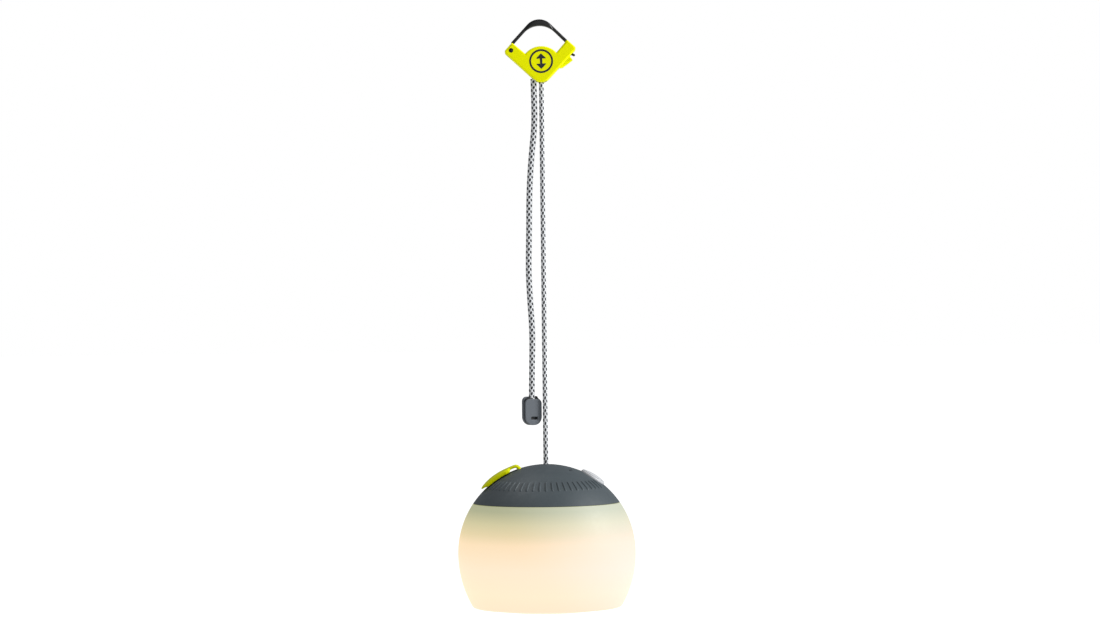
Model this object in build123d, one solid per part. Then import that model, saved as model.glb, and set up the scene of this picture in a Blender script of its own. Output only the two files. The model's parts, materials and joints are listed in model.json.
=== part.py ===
from build123d import *
import os
from math import atan2, cos, degrees, hypot, pi, radians, sin, sqrt, tan

# A hanging camping lantern: a round lamp on a braided cord, and a bail hook that locks the cord.
# Millimetres. +Z up, +X right, the front faces -Y. The origin is under the bail's crown, where it hangs.

# ---- driving dimensions: the lamp, in its own frame with the sphere's centre at the origin ----
LAMP_Z = -355.4          # sphere centre below the hanging point
SPHERE_R = 60.0          # the dome and the upper globe share this sphere
SEAM_Z = 34.0            # dome rim
DOME_WALL = 2.5
SEAM_GAP = 0.3
GLOBE_WALL = 2.0
GLOBE_SIDE_R = 71.5      # profile radius below the equator
CORNER_Z = -36.2         # where the side meets the underside, before rounding
CORNER_R = 2.7
BASE_Z = -38.7
BASE_R = 30.0            # flat disc that the lamp stands on
LIP_IN_R = 44.4          # globe's inward neck lip
LIP_T = 1.7
SEAL_R = 47.2            # outer radius of the seal's groove
SEAL_W = 1.8
SEAL_DEEP = 0.7
SHOULDER_Z = 16.0        # a height halfway up each of the globe's arcs
DRUM_R = 39.2            # white housing drum
DRUM_WALL = 1.4
DRUM_FLOOR_Z = 21.0
FLANGE_R = 46.3
FLANGE_T = 1.6
BOARD_T = 1.6
LED_BOARD_R = 37.0
SCREW_RING_R = 41.6
CELL_R = 9.2             # 18650 cell
CELL_L = 65.0
CELL_PITCH = 18.7
CELL_Z = 32.8
COVER_Z = 42.2
CONTROL_Z = 45.0
LEAD_HOLE = (24.0, 23.0)  # where the light board's leads pass the drum's floor

# ---- the port side (-X) and the button side (+X), as polar angles from the vertical ----
PORT_POLAR = 33.2
PORT_ARC = 16.0          # window length along the slope
PORT_WIDTH = 17.0
FLAP_WIDTH = 19.4
FLAP_R = 63.2
FLAP_IN_R = 60.15
STRAP_IN_R = 61.6
STRAP_WIDTH = 12.0
FLAP_TOP, FLAP_BLOCK, FLAP_LIP, FLAP_TIP = 20.3, 24.4, 42.0, 45.4
FOOT_FROM, FOOT_TO = 16.5, 18.6
BUTTON_POLAR = 31.9
BUTTON_R = 8.9
BUTTON_PROUD = 2.3
BUTTON_EDGE = 1.5        # how much lower its edge is than its middle
INDICATOR_POLAR = 20.3

# ---- the cord ----
TAUT_R = 1.7             # loaded strand
TAIL_R = 2.05            # slack strand
EXIT_Z = -37.9           # where the loaded strand leaves the lock
CORD_HOLE_R = 2.3
CORD_END_Z = 55.5        # top of the knot, in the lamp's frame

# ---- the hook, in its own frame with the hub centre at the origin ----
HUB_Z = -23.8
LEAN = 1.5               # the hook hangs tilted by this many degrees
LOCK_HALF = 6.0          # each half shell's depth
POCKET_HALF = 2.6
V_EDGE = 12.0            # hub centre to the outer edge of each arm
ARM_W = 8.1
ARM_L = 22.4
ARM_END_R = 1.9         # rounding of each arm's outer end corner
ARM_TIP_R = 0.6
V_ROUND = 7.2
HUB_R = 14.2
HUB_DROP = 4.05
BADGE_R = 8.05
BADGE_LINE = 1.3
BADGE_DEEP = 0.8
SHEAVE_U = -2.0
SHEAVE_PITCH_R = 3.6
SHEAVE_FLANGE_R = 4.3
PIN_R = 0.9
BAIL_PIN = (-20.0, 8.0)
BAIL_PIN_R = 1.25
PIN_HEAD_R = 1.6         # the riveted heads at its two ends
PIN_HEAD_T = 0.6
BAIL_TOP = 28.6
BAIL_BEND_R = 11.0      # outer bend at the crown
CROWN_IN_R = 14.0       # inner bend, wider, so the crown is thicker than the legs
BAIL_SLOPE = 45.8
BAIL_T = 2.1
BAIL_HALF = 2.0
BAIL_REACH = 19.0       # where each leg turns into its end
BAIL_EYE_R = 2.9
BAIL_TIP_R = 0.75       # the free leg's stub, which sticks out of the right arm
BAIL_TIP_L = 4.4
CROWN_HALF = 3.3
CROWN_W = 16.0
CAM_PIVOT = (12.2, -1.0)
CAM_HALF = 2.4
SPRING_FOOT = (14.0, 2.25)
SPRING_HEAD = (13.6, 4.6)
SCREW_PLACES = [(-11.6, 2.6), (0.6, 7.9), (8.6, 3.6)]
SCREW_R = 0.9
SCREW_HEAD_R = 1.75
SCREW_SEAT = 4.6         # how deep the screws' heads sit
SCREW_SLOT_FLOOR = 5.2
SCREW_TOP = 5.9
SCREW_TIP = 4.4          # how far forward the screws reach
LOCK_EDGE = 1.0          # rounding of each half shell's outer edge
LOCK_BEYOND = 8.0        # a depth outside the half shells, for cuts that go through one
FORK_GAP = 0.15          # beside the bail, inside the forks

# ---- the tag on the cord's free end ----
TAG_YAW = 30.0
TAG_W = 12.7
TAG_H = 19.3
TAG_FRONT = 1.5             # the front plate's thickness
TAG_CORE = 1.6              # the darker middle, which is set back all round
TAG_REAR = 2.3
TAG_CORE_IN = 0.9           # how far it is set back
TAG_TOP_R = 3.2             # corner radius at the top
TAG_END_R = 5.7             # corner radius at the bottom
TAG_FRONT_LOW = 1.6         # how far the front plate's top is below the rear plate's
TAG_WINDOW = (0.65, -4.95)  # middle of the small blind window
TAG_WINDOW_W = 5.1
TAG_WINDOW_H = 1.9
TAG_WINDOW_R = 0.4
TAG_FRONT_EDGE = 0.5        # rounding of the front plate's edge
TAG_REAR_EDGE = 0.7
TAG_BUMP = (3.0, 8.9)       # middle of the core's bump beside the cord
TAG_BUMP_R = 1.0
TAG_TOP_Z = -249.7
TAG_SOCKET = 3.6            # depth of the cord's socket
TAG_SOCKET_GAP = 0.15

# The slack strand's route, top to bottom, as (x, z); it hangs in the plane y = 0.
TAIL_ROUTE = [
    (-5.4, -35.4),
    (-5.0, -50.0),
    (-5.1, -68.0),
    (-7.4, -88.0),
    (-9.1, -112.0),
    (-9.5, -140.0),
    (-10.2, -164.0),
    (-9.4, -184.0),
    (-8.0, -206.0),
    (-8.6, -230.0),
    (-9.1, -253.2),
]
ARC_SHARE = 0.45         # an arc's share of the shorter run beside it

LAMP = Pos(0, 0, LAMP_Z)
HOOK = Pos(0, 0, HUB_Z) * Rot(0, -LEAN, 0)
EXIT_Z_LOCAL = EXIT_Z - HUB_Z


# ---- helpers ----
def rod(r, z0, z1, x=0.0, y=0.0):
    """An upright cylinder between two heights."""
    return Pos(x, y, (z0 + z1) / 2) * Cylinder(r, z1 - z0)


def block(x0, x1, y0, y1, z0, z1):
    return Pos((x0 + x1) / 2, (y0 + y1) / 2, (z0 + z1) / 2) * Box(x1 - x0, y1 - y0, z1 - z0)


def slab(sketch, y0, y1):
    """A sketch drawn in x and z, given depth from y0 to y1."""
    return Pos(0, y1, 0) * extrude(Plane.XZ * sketch, amount=y1 - y0)


def bar(p, q, width):
    """A round-ended bar between two points, as a sketch."""
    length = hypot(q[0] - p[0], q[1] - p[1])
    turn = degrees(atan2(q[1] - p[1], q[0] - p[0]))
    middle = ((p[0] + q[0]) / 2, (p[1] + q[1]) / 2)
    return Pos(middle[0], middle[1]) * Rot(0, 0, turn) * SlotCenterToCenter(length, width)


def side_plane(polar, side):
    """A plane that touches the sphere at a polar angle on the +X (side 1) or -X (side -1) face.

    Its local z points outwards and its local x points down the slope."""
    s, c = sin(radians(polar)), cos(radians(polar))
    origin = (side * SPHERE_R * s, 0, SPHERE_R * c)
    return Plane(origin=origin, x_dir=(side * c, 0, -s), z_dir=(side * s, 0, c))


def slope_band(r_in, r_out, polar0, polar1, half_width):
    """A piece of a spherical layer on the -X side, between two polar angles and two y planes."""
    ring = Circle(r_out) - Circle(r_in)
    profile = ring & Pos(-SPHERE_R, 0) * Rectangle(SPHERE_R, 2 * half_width)
    turned = revolve(profile, Axis.Y, revolution_arc=polar1 - polar0)
    return Rot(0, 90.0 - polar1, 0) * turned


def tube(points, r):
    """A tube along straight runs joined by tangent arcs, as large as the runs allow."""
    corners = [Vector(*p) for p in points]
    radii = []
    for before, at, after in zip(corners, corners[1:], corners[2:]):
        turn = (at - before).get_angle(after - at)
        shorter = min((at - before).length, (after - at).length)
        radii.append(ARC_SHARE * shorter / tan(radians(turn) / 2))
    print("arc radii:", [round(x, 1) for x in radii])
    path = FilletPolyline(*corners, radius=radii)
    start = Plane(origin=path @ 0, z_dir=path % 0)
    swept = sweep(start * Circle(r), path=path)
    print("tube volume", round(swept.volume, 2), "section times length", round(pi * r * r * path.length, 2))
    return swept


def screw(x, y, z_under, r, length):
    """A pan-head screw driven upwards; z_under is the plane under its head."""
    head_h = 1.3 * r
    head = rod(1.8 * r, z_under - head_h, z_under, x, y)
    drive = Pos(x, y, z_under - head_h) * extrude(RegularPolygon(0.9 * r, 6), amount=0.6 * head_h)
    return head - drive + rod(r, z_under, z_under + length, x, y)


def ring_places(count, r, start=0.0):
    """Evenly spaced places on a circle, as (x, y)."""
    angles = [radians(start + 360.0 * i / count) for i in range(count)]
    return [(r * cos(a), r * sin(a)) for a in angles]


# ---- the lamp's outer parts ----
def on_circle(r, x):
    """The upper point of a circle about the origin at a distance x from its axis."""
    return (x, sqrt(r ** 2 - x ** 2))


def on_rim(r):
    return (sqrt(r ** 2 - SEAM_Z ** 2), SEAM_Z)


def dome_cap():
    """The dome's wall with the cord hole at its top, before its details."""
    inner_r = SPHERE_R - DOME_WALL
    outer = ThreePointArc(on_circle(SPHERE_R, CORD_HOLE_R), on_circle(SPHERE_R, 30.0), on_rim(SPHERE_R))
    inner = ThreePointArc(on_rim(inner_r), on_circle(inner_r, 28.0), on_circle(inner_r, CORD_HOLE_R))
    face = make_face([outer, Line(outer @ 1, inner @ 0), inner, Line(inner @ 1, outer @ 0)])
    return Rot(0, 0, 90) * revolve(Plane.XZ * face, Axis.Z)


def dome_shell():
    button = side_plane(BUTTON_POLAR, 1).location
    port = side_plane(PORT_POLAR, -1).location
    shell = dome_cap()
    for x, y in ring_places(4, SCREW_RING_R, 45):
        boss = rod(2.6, SEAM_Z - 2.0, 41.0, x, y) & Rot(0, 0, 90) * Sphere(SPHERE_R - 1)
        shell = shell + boss
    for x, y in ring_places(4, SCREW_RING_R, 45):
        shell = shell - rod(1.3, 30.0, 38.2, x, y)
    for y in (-12.3, 12.3):
        post = button * rod(1.5, -12.0, -2.6, 0, y)
        hole = button * rod(0.75, -12.5, -6.0, 0, y)
        shell = shell + post
        shell = shell - hole
    shell = shell - button * rod(BUTTON_R + 0.2, -6.0, 5.0)
    window = extrude(RectangleRounded(PORT_ARC, PORT_WIDTH, 2.0), amount=12)
    shell = shell - port * Pos(0, 0, -6) * window
    shell = shell - foot_stem(1.7, 55.0)
    for place in indicator_places():
        shell = shell - place * rod(0.65, -6, 3)
    return shell


def foot_stem(r, inner):
    """The flap foot's stem, square to the dome."""
    polar = (FOOT_FROM + FOOT_TO) / 2
    return side_plane(polar, -1).location * rod(r, inner - SPHERE_R, 1.0)


def indicator_places():
    """Locations of the two charge indicators, square to the dome and on its front right."""
    places = []
    for azimuth in (-40.0, -35.0):
        places.append(Rot(0, 0, azimuth) * side_plane(INDICATOR_POLAR, 1).location)
    return places


def globe_solid(inset, corner_round):
    """The globe's outline turned about the axis, moved inwards by inset."""
    upper_r = SPHERE_R - inset
    side_r = GLOBE_SIDE_R - inset
    side_x = SPHERE_R - GLOBE_SIDE_R
    top = SEAM_Z - SEAM_GAP
    corner_z = CORNER_Z + inset
    base_z = BASE_Z + inset
    top_x = sqrt(upper_r ** 2 - top ** 2)
    shoulder = (sqrt(upper_r ** 2 - SHOULDER_Z ** 2), SHOULDER_Z)
    waist = (side_x + sqrt(side_r ** 2 - SHOULDER_Z ** 2), -SHOULDER_Z)
    corner_at = (side_x + sqrt(side_r ** 2 - corner_z ** 2), corner_z)
    upper = ThreePointArc((top_x, top), shoulder, (upper_r, 0))
    side = ThreePointArc((upper_r, 0), waist, corner_at)
    under = Polyline(corner_at, (BASE_R, base_z), (0, base_z), (0, top), (top_x, top))
    face = make_face([upper, side, under])
    corner = face.vertices().sort_by_distance((*corner_at, 0))[0]
    face = fillet(corner, corner_round)
    return revolve(Plane.XZ * face, Axis.Z)


def globe():
    """The frosted shell with an inward lip at its neck, which has a groove for the seal."""
    shell = globe_solid(0, CORNER_R) - globe_solid(GLOBE_WALL, CORNER_R - 1.5)
    top = SEAM_Z - SEAM_GAP
    lip = rod(SPHERE_R, top - LIP_T, top) & globe_solid(0.5, CORNER_R)
    opening = rod(LIP_IN_R, top - 3, top + 1)
    groove = rod(SEAL_R, top - SEAL_DEEP, top + 1) - rod(SEAL_R - SEAL_W, top - SEAL_DEEP, top + 1)
    return shell + lip - opening - groove


def globe_seal():
    bottom = SEAM_Z - SEAM_GAP - SEAL_DEEP
    return rod(SEAL_R - 0.1, bottom, SEAM_Z) - rod(SEAL_R - SEAL_W + 0.1, bottom - 0.1, SEAM_Z + 0.1)


def port_flap():
    block_part = slope_band(FLAP_IN_R, FLAP_R, FLAP_BLOCK, FLAP_LIP, FLAP_WIDTH / 2)
    strap = slope_band(STRAP_IN_R, FLAP_R, FLAP_TOP, FLAP_BLOCK + 0.5, STRAP_WIDTH / 2)
    lip = slope_band(FLAP_R - 1.4, FLAP_R, FLAP_LIP - 0.5, FLAP_TIP, FLAP_WIDTH / 2 - 2.5)
    rib = RectangleRounded(PORT_ARC - 0.8, PORT_WIDTH - 0.8, 1.6)
    rib = rib - RectangleRounded(PORT_ARC - 3.2, PORT_WIDTH - 3.2, 0.8)
    rib_solid = side_plane(PORT_POLAR, -1).location * Pos(0, 0, -3) * extrude(rib, amount=4)
    rib_solid = rib_solid & slope_band(SPHERE_R - 0.8, SPHERE_R + 0.6, 20.0, 46.0, FLAP_WIDTH)
    return block_part + strap + lip + rib_solid


def flap_foot():
    pad = slope_band(SPHERE_R, FLAP_R - 0.4, FOOT_FROM, FOOT_TO, STRAP_WIDTH / 2)
    bulb = side_plane((FOOT_FROM + FOOT_TO) / 2, -1).location * rod(2.3, -4.0, -2.7)
    return pad + foot_stem(1.6, 56.0) + bulb


def port_bezel():
    port = side_plane(PORT_POLAR, -1).location
    plate = extrude(RectangleRounded(PORT_ARC - 0.2, PORT_WIDTH - 0.2, 1.9), amount=3.0)
    flange = extrude(RectangleRounded(PORT_ARC + 2.4, PORT_WIDTH + 2.4, 2.6), amount=0.9)
    body = Pos(0, 0, -4.8) * plate + Pos(0, 0, -4.8) * flange
    body = body - block(-5.4, 0.7, -6.7, 6.7, -6, 0)
    body = body - Pos(4.1, 0, -6) * extrude(RectangleRounded(3.5, 9.2, 1.7), amount=6)
    return port * body


def usb_a_socket():
    port = side_plane(PORT_POLAR, -1).location
    can = block(-5.25, 0.55, -6.55, 6.55, -14.0, -2.0) - block(-4.85, 0.15, -6.15, 6.15, -13.0, -1.9)
    tongue = block(-2.2, -0.6, -5.4, 5.4, -13.2, -3.0)
    return port * (can + tongue)


def usb_c_socket():
    port = side_plane(PORT_POLAR, -1).location
    can = extrude(RectangleRounded(3.3, 9.0, 1.6), amount=12)
    can = can - Pos(0, 0, 1) * extrude(RectangleRounded(2.7, 8.4, 1.3), amount=12)
    tongue = block(-0.35, 0.35, -3.3, 3.3, 0.5, 10.5)
    return port * Pos(4.1, 0, -14.0) * (can + tongue)


def port_board():
    return side_plane(PORT_POLAR, -1).location * block(-7.5, 8.0, -9.0, 9.0, -14.0 - BOARD_T, -14.0)


def indicator_lenses():
    lens = rod(0.6, -4.2, 0.25) + rod(1.1, -4.2, -3.2)
    return Compound([place * lens for place in indicator_places()])


# ---- the power button ----
def button_cap():
    crown_r = (BUTTON_R ** 2 + BUTTON_EDGE ** 2) / (2 * BUTTON_EDGE)
    body = rod(BUTTON_R, -4.4, BUTTON_PROUD) & Pos(0, 0, BUTTON_PROUD - crown_r) * Sphere(crown_r)
    body = body - rod(BUTTON_R - 1.6, -6, 0.6)
    flange = rod(10.1, -4.6, -3.8) - rod(BUTTON_R - 1.6, -6, 0)
    stem = rod(2.0, -7.0, 1.0)
    return side_plane(BUTTON_POLAR, 1).location * (body + flange + stem)


def switch_plunger():
    return side_plane(BUTTON_POLAR, 1).location * rod(1.6, -9.6, -7.0)


def switch_body():
    body = block(-3, 3, -3, 3, -12.0, -8.2) - rod(1.7, -11.0, -8.0)
    return side_plane(BUTTON_POLAR, 1).location * body


def button_board():
    board = block(-5.5, 5.5, -14.0, 14.0, -12.0 - BOARD_T, -12.0)
    for y in (-12.3, 12.3):
        board = board - rod(0.9, -14, -11, 0, y)
    return side_plane(BUTTON_POLAR, 1).location * board


def button_board_screws():
    screws = [screw(0, y, -12.0 - BOARD_T, 0.7, 6.5) for y in (-12.3, 12.3)]
    return side_plane(BUTTON_POLAR, 1).location * Compound(screws)


# ---- inside the lamp ----
def inner_drum():
    flange_top = SEAM_Z - SEAM_GAP - LIP_T
    drum = rod(DRUM_R, DRUM_FLOOR_Z, flange_top) - rod(DRUM_R - DRUM_WALL, DRUM_FLOOR_Z + 1.6, flange_top + 1)
    flange = rod(FLANGE_R, flange_top - FLANGE_T, flange_top) - rod(DRUM_R - DRUM_WALL, 20, 40)
    drum = drum + flange
    for x, y in ring_places(4, SCREW_RING_R, 45):
        drum = drum - rod(1.45, 25, 35, x, y)
    for x, y in ring_places(3, 33.0, 30):
        drum = drum - rod(0.9, 18, 26, x, y)
    return drum - rod(2.5, 18, 26, *LEAD_HOLE)


def drum_screws():
    under = SEAM_Z - SEAM_GAP - LIP_T - FLANGE_T
    return Compound([screw(x, y, under, 1.2, 7.5) for x, y in ring_places(4, SCREW_RING_R, 45)])


def led_board():
    board = rod(LED_BOARD_R, DRUM_FLOOR_Z - BOARD_T, DRUM_FLOOR_Z)
    for x, y in ring_places(3, 33.0, 30):
        board = board - rod(1.0, 18, 22, x, y)
    return board - rod(2.5, 20.2, 22, *LEAD_HOLE)


def led_chips():
    top = DRUM_FLOOR_Z - BOARD_T
    places = ring_places(12, 27.0, 15) + ring_places(4, 12.0, 45)
    return Compound([block(x - 1.75, x + 1.75, y - 1.75, y + 1.75, top - 0.7, top) for x, y in places])


def led_board_screws():
    return Compound([screw(x, y, DRUM_FLOOR_Z - BOARD_T, 0.85, 3.0) for x, y in ring_places(3, 33.0, 30)])


def battery_cells():
    lay = Rot(90, 0, 0)
    cells = []
    for x in (-CELL_PITCH / 2, CELL_PITCH / 2):
        body = fillet(Cylinder(CELL_R, CELL_L).edges(), 0.8)
        cells.append(Pos(x, 0, CELL_Z) * lay * body)
    return Compound(cells)


def cell_cradle():
    floor = DRUM_FLOOR_Z + 1.6
    tray = block(-19.2, 19.2, -33.0, 33.0, floor, floor + 6.0) & rod(37.4, floor, floor + 6)
    for x in (-CELL_PITCH / 2, CELL_PITCH / 2):
        tray = tray - Pos(x, 0, CELL_Z) * Rot(90, 0, 0) * Cylinder(CELL_R + 0.1, CELL_L + 0.4)
    return tray


def cell_tabs():
    tabs = [block(-12, 12, s * 32.65 - 0.15, s * 32.65 + 0.15, 29.0, 37.0) for s in (-1, 1)]
    return Compound(tabs)


def cell_cover():
    plate = block(-17.6, 17.6, -27, 27, COVER_Z, COVER_Z + 1.5)
    arm = block(-10, -2, 26, 34.6, COVER_Z, COVER_Z + 1.5) + block(-10, -2, 33.4, 34.6, 24, COVER_Z + 1.5)
    plate = plate + arm + Rot(0, 0, 180) * arm
    for x in (-13.5, 13.5):
        for y in (-22.0, 22.0):
            plate = plate + rod(2.0, COVER_Z, CONTROL_Z, x, y)
    return plate


def control_board():
    return block(-16.5, 16.5, -25, 25, CONTROL_Z, CONTROL_Z + BOARD_T)


def control_parts():
    top = CONTROL_Z + BOARD_T
    chips = [
        block(-12, -5, 8, 15, top, top + 1.2),
        block(4, 10, 8, 14, top, top + 2.6),
        block(-11, -7, -14, -9, top, top + 1.0),
        block(5, 12, -16, -9, top, top + 1.0),
        block(-3, 3, 16.5, 21, top, top + 2.0),
    ]
    cans = [rod(2.0, top, top + 2.4, x, -19) for x in (-8, -3, 2, 7)]
    return Compound(chips + cans)


def battery_leads():
    leads = []
    for s in (-1, 1):
        rise = [(s * 4, s * 33.4, 33.0), (s * 4, s * 33.4, 40.5)]
        over = [(s * 5.5, s * 29.0, 45.8), (s * 6, s * 25.1, 45.8)]
        leads.append(tube(rise + over, 0.5))
    return Compound(leads)


def led_leads():
    leads = []
    x, y = LEAD_HOLE
    for step in (-1.0, 1.0):
        rise = [(x, y + step, DRUM_FLOOR_Z), (x, y + step, 38.0)]
        over = [(19.8, y + step - 2, 45.8), (16.6, y + step - 3, 45.8)]
        leads.append(tube(rise + over, 0.5))
    return Compound(leads)


# ---- the cord and its anchor ----
def cord_suspension():
    bottom = LAMP_Z + CORD_END_Z
    return rod(TAUT_R, bottom, EXIT_Z) + Pos(0, 0, EXIT_Z) * Sphere(TAUT_R)


def anchor_washer():
    return LAMP * (rod(5.5, 55.7, 56.9) - rod(2.0, 55, 58))


def cord_knot():
    knot = Pos(0, 0, 52.6) * Sphere(3.6) & rod(6, 48, CORD_END_Z)
    return LAMP * (knot + Pos(0, 0, 51.0) * Torus(2.9, 1.2))


def cord_tail():
    strand = tube([(x, 0, z) for x, z in TAIL_ROUTE], TAIL_R)
    return strand + Pos(TAIL_ROUTE[0][0], 0, TAIL_ROUTE[0][1]) * Sphere(TAIL_R)


def tag_outline(inset, low=0.0):
    """A tag outline with rounder corners below, its top lowered if asked."""
    middle = Pos(0, -low / 2)
    sketch = middle * Rectangle(TAG_W - 2 * inset, TAG_H - 2 * inset - low)
    rows = sketch.vertices().group_by(Axis.Y)
    sketch = fillet(rows[-1], TAG_TOP_R - inset)
    rows = sketch.vertices().group_by(Axis.Y)
    return fillet(rows[0], TAG_END_R - inset)


def tag_parts():
    depth = TAG_FRONT + TAG_CORE + TAG_REAR
    y0 = -depth / 2
    y1 = y0 + TAG_FRONT
    y2 = y1 + TAG_CORE
    place = Pos(TAIL_ROUTE[-1][0], 0, TAG_TOP_Z - TAG_H / 2) * Rot(0, 0, TAG_YAW)
    socket = rod(TAIL_R + TAG_SOCKET_GAP, TAG_H / 2 - TAG_SOCKET, TAG_H)
    opening = RectangleRounded(TAG_WINDOW_W, TAG_WINDOW_H, TAG_WINDOW_R)
    window = slab(Pos(*TAG_WINDOW) * opening, y0 - TAG_FRONT, y2)
    front = slab(tag_outline(0, TAG_FRONT_LOW), y0, y1)
    front = fillet(front.edges().group_by(Axis.Y)[0], TAG_FRONT_EDGE)
    rear = slab(tag_outline(0), y2, depth / 2)
    rear = fillet(rear.edges().group_by(Axis.Y)[-1], TAG_REAR_EDGE)
    core = slab(tag_outline(TAG_CORE_IN) + Pos(*TAG_BUMP) * Circle(TAG_BUMP_R), y1, y2)
    return [place * (piece - socket) for piece in (front - window, core - window, rear)]


# ---- the hook's cord lock ----
def v_region(inset=0.0):
    """The space between the V's two outer edges, rounded at the bottom."""
    edge = V_EDGE - inset
    reach = ARM_L + edge
    square = Rectangle(reach, reach, align=(Align.MIN, Align.MIN))
    placed = Pos(0, -edge * sqrt(2)) * Rot(0, 0, 45) * square
    corner = placed.vertices().sort_by_distance((0, -edge * sqrt(2), 0))[0]
    return fillet(corner, V_ROUND - inset)


def arm_sketch(side):
    arm = Pos(ARM_L / 2, -V_EDGE + ARM_W / 2) * Rectangle(ARM_L, ARM_W)
    if side > 0:
        return Rot(0, 0, 45) * arm
    return mirror(Rot(0, 0, 45) * arm, about=Plane.YZ)


def lock_outline():
    hub = Pos(0, -HUB_DROP) * Circle(HUB_R)
    outline = (hub + arm_sketch(1) + arm_sketch(-1)) & v_region()
    outer_end = ((ARM_L + V_EDGE) / sqrt(2), (ARM_L - V_EDGE) / sqrt(2))
    inner_end = ((ARM_L + V_EDGE - ARM_W) / sqrt(2), (ARM_L - V_EDGE + ARM_W) / sqrt(2))
    for (u, w), r in ((outer_end, ARM_END_R), (inner_end, ARM_TIP_R)):
        for side in (1, -1):
            corner = outline.vertices().sort_by_distance((side * u, w, 0))[0]
            outline = fillet(corner, r)
    return outline


def loaded_exit():
    """Where the loaded strand leaves the lock, in the hook's frame."""
    return EXIT_Z_LOCAL * sin(radians(LEAN)), EXIT_Z_LOCAL


def pocket_sketch():
    """The hollow between the half shells that holds the sheave, the cord and the cam."""
    sheave = Pos(SHEAVE_U, 0) * Circle(SHEAVE_FLANGE_R + 1.5)
    channel = Pos(-2.5, -8.0) * Rectangle(11.6, 16.0)
    cam = Polygon((2.0, -4.8), (2.0, -10.2), (5.6, -10.2), (10.5, -5.3), (11.6, -6.5), (26.0, -2.0),
                  (26.0, 6.6), (20.5, 6.6), (17.4, 6.2), (14.2, 4.0), (12.0, 3.4), (8.8, 1.9),
                  (5.0, -1.2), align=None)
    return sheave + channel + cam + bar(SPRING_FOOT, SPRING_HEAD, 2.6)


def left_fork():
    return bar(BAIL_PIN, (-24.0, 16.0), 7.6) + bar(BAIL_PIN, (-14.0, 16.5), 7.6)


def right_fork():
    return Polygon((15.2, 6.4), (21.0, 0.9), (30.0, 2.0), (30.0, 16.0), (17.0, 20.0), (12.6, 15.0),
                   align=None)


def lock_half(front):
    y0, y1 = (-LOCK_HALF, 0.0) if front else (0.0, LOCK_HALF)
    shell = slab(lock_outline(), y0, y1)
    outer = shell.edges().group_by(Axis.Y)[0 if front else -1]
    shell = fillet(outer, LOCK_EDGE)
    shell = shell - slab(pocket_sketch(), -POCKET_HALF, POCKET_HALF)
    shell = shell - slab(left_fork() + right_fork(), -BAIL_HALF - FORK_GAP, BAIL_HALF + FORK_GAP)
    mouth = Pos(-3.0, -13.0) * Rectangle(12.4, 7.0)
    shell = shell - slab(mouth, -3.4, 3.4)
    for u, w in ((SHEAVE_U, 0.0), CAM_PIVOT):
        shell = shell - slab(Pos(u, w) * Circle(PIN_R + 0.02), -4.4, 4.4)
    shell = shell - slab(Pos(*BAIL_PIN) * Circle(BAIL_PIN_R + 0.02), -LOCK_BEYOND, LOCK_BEYOND)
    for u, w in SCREW_PLACES:
        shell = shell - slab(Pos(u, w) * Circle(SCREW_R + 0.05), -SCREW_TIP - 0.1, LOCK_BEYOND)
        shell = shell - slab(Pos(u, w) * Circle(SCREW_HEAD_R + 0.15), SCREW_SEAT, LOCK_BEYOND)
    if front:
        ring = Circle(BADGE_R) - Circle(BADGE_R - BADGE_LINE)
        shell = shell - slab(ring, -LOCK_BEYOND, -LOCK_HALF + BADGE_DEEP)
        shell = shell - slab(badge_mark(), -LOCK_BEYOND, -LOCK_HALF + BADGE_DEEP)
    return HOOK * shell


def badge_mark():
    """A plain up-and-down arrow, for raising and lowering the lamp."""
    head = Polygon((-3.6, 1.6), (3.6, 1.6), (0, 5.4), align=None)
    stem = Rectangle(1.6, 4.4)
    foot = Polygon((-3.6, -1.6), (0, -5.4), (3.6, -1.6), align=None)
    return head + stem + foot


def badge_ring():
    ring = Circle(BADGE_R) - Circle(BADGE_R - BADGE_LINE)
    return HOOK * slab(ring, -LOCK_HALF - 0.05, -LOCK_HALF + BADGE_DEEP)


def badge_symbol():
    return HOOK * slab(badge_mark(), -LOCK_HALF - 0.05, -LOCK_HALF + BADGE_DEEP)


def lock_screws():
    screws = []
    for u, w in SCREW_PLACES:
        slotted = Pos(u, w) * Circle(SCREW_HEAD_R) - Pos(u, w) * Rectangle(2.4, 0.5)
        head = slab(Pos(u, w) * Circle(SCREW_HEAD_R), SCREW_SEAT, SCREW_SLOT_FLOOR)
        shank = slab(Pos(u, w) * Circle(SCREW_R), -SCREW_TIP, SCREW_SEAT)
        screws.append(slab(slotted, SCREW_SLOT_FLOOR, SCREW_TOP) + head + shank)
    return HOOK * Compound(screws)


def pin(u, w, r, half):
    return HOOK * slab(Pos(u, w) * Circle(r), -half, half)


def bail_pin():
    axle = slab(Pos(*BAIL_PIN) * Circle(BAIL_PIN_R), -LOCK_HALF, LOCK_HALF)
    for y in (-LOCK_HALF - PIN_HEAD_T, LOCK_HALF):
        axle = axle + slab(Pos(*BAIL_PIN) * Circle(PIN_HEAD_R), y, y + PIN_HEAD_T)
    return HOOK * axle


def sheave():
    wheel = slab(Pos(SHEAVE_U, 0) * (Circle(SHEAVE_FLANGE_R) - Circle(PIN_R + 0.06)), -2.45, 2.45)
    groove = Pos(SHEAVE_U, 0, 0) * Rot(90, 0, 0) * Torus(SHEAVE_PITCH_R + 0.15, TAUT_R + 0.12)
    return HOOK * (wheel - groove)


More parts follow.
